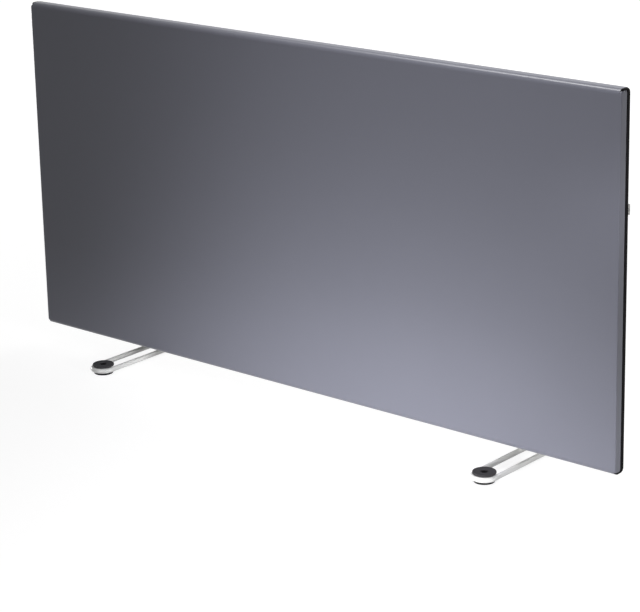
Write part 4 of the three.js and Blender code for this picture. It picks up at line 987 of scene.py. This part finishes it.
black_oxide = coated(
    "black_oxide", (0.007, 0.007, 0.008), (0.005, 0.005, 0.006), 1800.0, 0.00001, 0.6, Specular_IOR_Level=0.06
)
black_oxide["slot"] = "black_plastic"
pad_rubber = coated(
    "pad_rubber", (0.014, 0.014, 0.015), (0.009, 0.009, 0.010), 1500.0, 0.00006, 0.85, Specular_IOR_Level=0.2
)
cap_plastic = coated(
    "cap_plastic", (0.048, 0.047, 0.051), (0.038, 0.037, 0.041), 1600.0, 0.00005, 0.7, Specular_IOR_Level=0.25
)


def softened(mesh, width, steps=3):
    """The mesh with its sharp edges rounded over."""
    work = bmesh.new()
    work.from_mesh(mesh)
    bmesh.ops.dissolve_limit(work, angle_limit=math.radians(1), verts=work.verts, edges=work.edges)
    sharp = [edge for edge in work.edges if edge.is_manifold and edge.calc_face_angle() > math.radians(40)]
    bmesh.ops.bevel(work, geom=sharp, offset=width, segments=steps, profile=0.5, affect="EDGES")
    return written(work, mesh)


for side in ("left", "right"):
    low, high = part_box(f"{side}_foot_loop")
    bend = (high.x - low.x) / 2 - ROD_RADIUS
    middle_x, rod_z = (low.x + high.x) / 2, (low.z + high.z) / 2
    reach = high.y - ROD_RADIUS - bend
    line = arc(middle_x, reach, bend, 0, 180, 40) + arc(middle_x, -reach, bend, 180, 360, 40)
    path = [(x, y, rod_z) for x, y in line]
    loop = meshed("rod", [path], dimensions="3D", bevel_depth=ROD_RADIUS, bevel_resolution=10)
    piece(f"{side}_foot_rod", loop, wire_enamel, node=f"{side}_foot_loop")
    low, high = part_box(f"{side}_foot_bracket")
    half = BRACKET_SHEET / 2
    corners = [(low.y, low.z + half), (high.y - half, low.z + half), (high.y - half, high.z)]
    section = folded_section(corners, [BRACKET_BEND], BRACKET_SHEET)
    bracket = softened(run([section], ALONG_X, low.x, high.x), BRACKET_EDGE)
    piece(f"{side}_bracket", bracket, white_paint, node=f"{side}_foot_bracket")
    for end in ("front", "rear"):
        pad_name, cap_name = f"{side}_{end}_foot_pad", f"{side}_{end}_foot_cap"
        screw_name = f"{side}_{end}_pad_screw"
        pad_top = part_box(pad_name)[1].z
        under, over = (corner.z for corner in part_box(cap_name))
        tip, top = (corner.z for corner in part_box(screw_name))
        centre = middle_of(cap_name)
        there = Matrix.Translation((centre.x, centre.y, 0))
        hub = bend - ROD_RADIUS - CLEARANCE
        hole = PAD_SCREW_SHANK + CLEARANCE
        pad = turned(profile_of([
            (0, 0, 0), (PAD_RADIUS, 0, PAD_FOOT_EDGE), (PAD_RADIUS, PAD_THICKNESS, PAD_EDGE),
            (hub, PAD_THICKNESS, PAD_EDGE), (hub, pad_top, PAD_EDGE), (hole, pad_top, 0),
            (hole, tip - CLEARANCE, 0), (0, tip - CLEARANCE, 0),
        ]), 64)
        pad.transform(there)
        piece(f"{side}_{end}_pad", pad, pad_rubber, node=pad_name)
        head_under, dish, brim = top - PAD_SCREW_HEAD_HEIGHT, over - CAP_DISH, CAP_RADIUS - CAP_BRIM
        seat = head_under - CLEARANCE
        ring = filleted([
            (hole, under, 0), (CAP_RADIUS, under, CAP_UNDER_EDGE), (CAP_RADIUS, over, CAP_TOP_EDGE),
            (brim, over, CAP_SLOPE_EDGE), (brim - CAP_SLOPE, dish, CAP_SLOPE_EDGE),
            (CAP_WELL, dish, CAP_WELL_EDGE), (CAP_WELL, seat, 0), (hole, seat, 0),
        ], 5)
        cap = turned([*ring, ring[0]], 64)
        cap.transform(there)
        piece(f"{side}_{end}_cap", cap, cap_plastic, node=cap_name)
        head = turned(profile_of([
            (0, tip, 0), (PAD_SCREW_SHANK, tip, PAD_SCREW_TIP_EDGE), (PAD_SCREW_SHANK, head_under, 0),
            (PAD_SCREW_HEAD, head_under, PAD_SCREW_UNDER_EDGE), (PAD_SCREW_HEAD, top, PAD_SCREW_TOP_EDGE),
            (0, top, 0),
        ]), 40)
        socket = run([circle(0, 0, PAD_SOCKET, 6)], ALONG_Z, top - PAD_SOCKET_DEPTH, top + OVERRUN)
        head = combined(head, [socket], "DIFFERENCE")
        head.transform(there)
        piece(f"{side}_{end}_cap_screw", head, black_oxide, node=screw_name)

# FLOOR AND LIGHT
# A white studio floor and pale surroundings. Two spots from the low front right shade the panel from its
# bright lower corner to its dark left end, one from above lights its rolled top edge, and small ones light
# the feet and the mains switch. Wide weak lamps above, behind and beside fill in the rest.
FLOOR_HALF = 9.0
NEAR_GLOW = 0.88
FAR_GLOW = 0.98
GLOW_FROM = 0.5
GLOW_TO = 2.5
SURROUND_LIGHT = 0.06
SURROUND_SEEN = 0.94
floor_mesh = bpy.data.meshes.new("floor")
corners = rectangle(-FLOOR_HALF, -FLOOR_HALF, FLOOR_HALF, FLOOR_HALF)
floor_mesh.from_pydata([(x, y, 0) for x, y in corners], [], [(0, 1, 2, 3)])
floor = bpy.data.objects.new("floor", floor_mesh)
bpy.context.scene.collection.objects.link(floor)
floor_paint = bpy.data.materials.new("floor_paint")
floor_paint.use_nodes = True
floor_tree = floor_paint.node_tree
floor_shader = floor_tree.nodes["Principled BSDF"]
floor_shader.inputs["Base Color"].default_value = (0.25, 0.25, 0.25, 1)
floor_shader.inputs["Roughness"].default_value = 0.9
floor_shader.inputs["Specular IOR Level"].default_value = 0.1
floor_shader.inputs["Emission Color"].default_value = (1, 1, 1, 1)


def seen_directly(tree, strength):
    """A strength that the camera sees, also in metal and glass, but that casts no light on the object."""
    ray = node(tree, "ShaderNodeLightPath").outputs
    seen = node(tree, "ShaderNodeMath", ray["Is Camera Ray"], ray["Is Glossy Ray"], operation="MAXIMUM")
    seen = node(tree, "ShaderNodeMath", seen.outputs[0], ray["Is Transmission Ray"], operation="MAXIMUM")
    return node(tree, "ShaderNodeMath", seen.outputs[0], strength, operation="MULTIPLY").outputs[0]


spread = node(floor_tree, "ShaderNodeTexCoord").outputs["Object"]
reach = node(floor_tree, "ShaderNodeVectorMath", spread, operation="LENGTH").outputs["Value"]
glow = node(
    floor_tree, "ShaderNodeMapRange", reach, interpolation_type="SMOOTHSTEP",
    From_Min=GLOW_FROM, From_Max=GLOW_TO, To_Min=NEAR_GLOW, To_Max=FAR_GLOW,
)
direct = seen_directly(floor_tree, 1.0)
shown = node(floor_tree, "ShaderNodeMath", glow.outputs["Result"], direct, operation="MULTIPLY")
floor_tree.links.new(shown.outputs[0], floor_shader.inputs["Emission Strength"])
floor_mesh.materials.append(floor_paint)

world = bpy.data.worlds.new("surroundings")
world.use_nodes = True
world_tree = world.node_tree
backdrop = world_tree.nodes["Background"]
backdrop.inputs["Color"].default_value = (1, 1, 1, 1)
direct = seen_directly(world_tree, SURROUND_SEEN)
total = node(world_tree, "ShaderNodeMath", SURROUND_LIGHT, direct, operation="ADD")
world_tree.links.new(total.outputs[0], backdrop.inputs["Strength"])
bpy.context.scene.world = world


def lamp(name, place, aim, size, power, reach=None):
    """A lamp turned towards a point: a soft spot if it has a reach round that point, else a square lamp."""
    data = bpy.data.lights.new(name, "SPOT" if reach else "AREA")
    data.energy = power
    toward = Vector(aim) - Vector(place)
    if reach:
        data.shadow_soft_size = size
        data.spot_size = 2 * math.atan(reach / toward.length)
        data.spot_blend = 1.0
    else:
        data.size = size
    made = bpy.data.objects.new(name, data)
    made.location = place
    made.rotation_euler = toward.to_track_quat("-Z", "Y").to_euler()
    bpy.context.scene.collection.objects.link(made)


SPOT_PLACE = (0.55, -2.3, 0.3)
FOOT_AIM_SHARE = 0.35
FOOT_SPOT_FROM = Vector((0.75, -0.11, 0.13))
SWITCH_SPOT_FROM = Vector((0.82, -0.55, 0.18))
lamp("upper_spot", SPOT_PLACE, (0.24, -0.026, 0.17), size=0.15, power=80.0, reach=0.54)
lamp("lower_spot", SPOT_PLACE, (0.14, -0.026, -0.27), size=0.15, power=243.0, reach=0.57)
lamp("ridge_spot", (-0.74, -0.19, 2.03), (0.46, -0.02, 0.39), size=0.26, power=92.0, reach=0.85)
for side, power in (("left", 21.0), ("right", 8.0)):
    centre = middle_of(f"{side}_foot_loop")
    aim = Vector((centre.x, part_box(f"{side}_foot_loop")[0].y * FOOT_AIM_SHARE, centre.z))
    lamp(f"{side}_foot_spot", aim + FOOT_SPOT_FROM, aim, size=0.08, power=power, reach=0.08)
switch_middle = middle_of("power_rocker")
lamp("switch_spot", switch_middle + SWITCH_SPOT_FROM, switch_middle, size=0.05, power=18.0, reach=0.05)
lamp("overhead", (-0.25, -0.14, 2.1), (-0.1, -0.05, 0.1), size=0.6, power=3.0)
lamp("behind", (0.3, 2.2, 1.0), (0.0, 0.0, 0.2), size=1.4, power=36.0)
lamp("right_side", (2.1, 0.0, 0.1), (0.3, 0.0, 0.15), size=0.5, power=4.0)
lamp("left_side", (-2.1, 0.2, 0.1), (-0.3, 0.0, 0.15), size=0.5, power=12.0)

bpy.context.scene.view_settings.view_transform = "Standard"
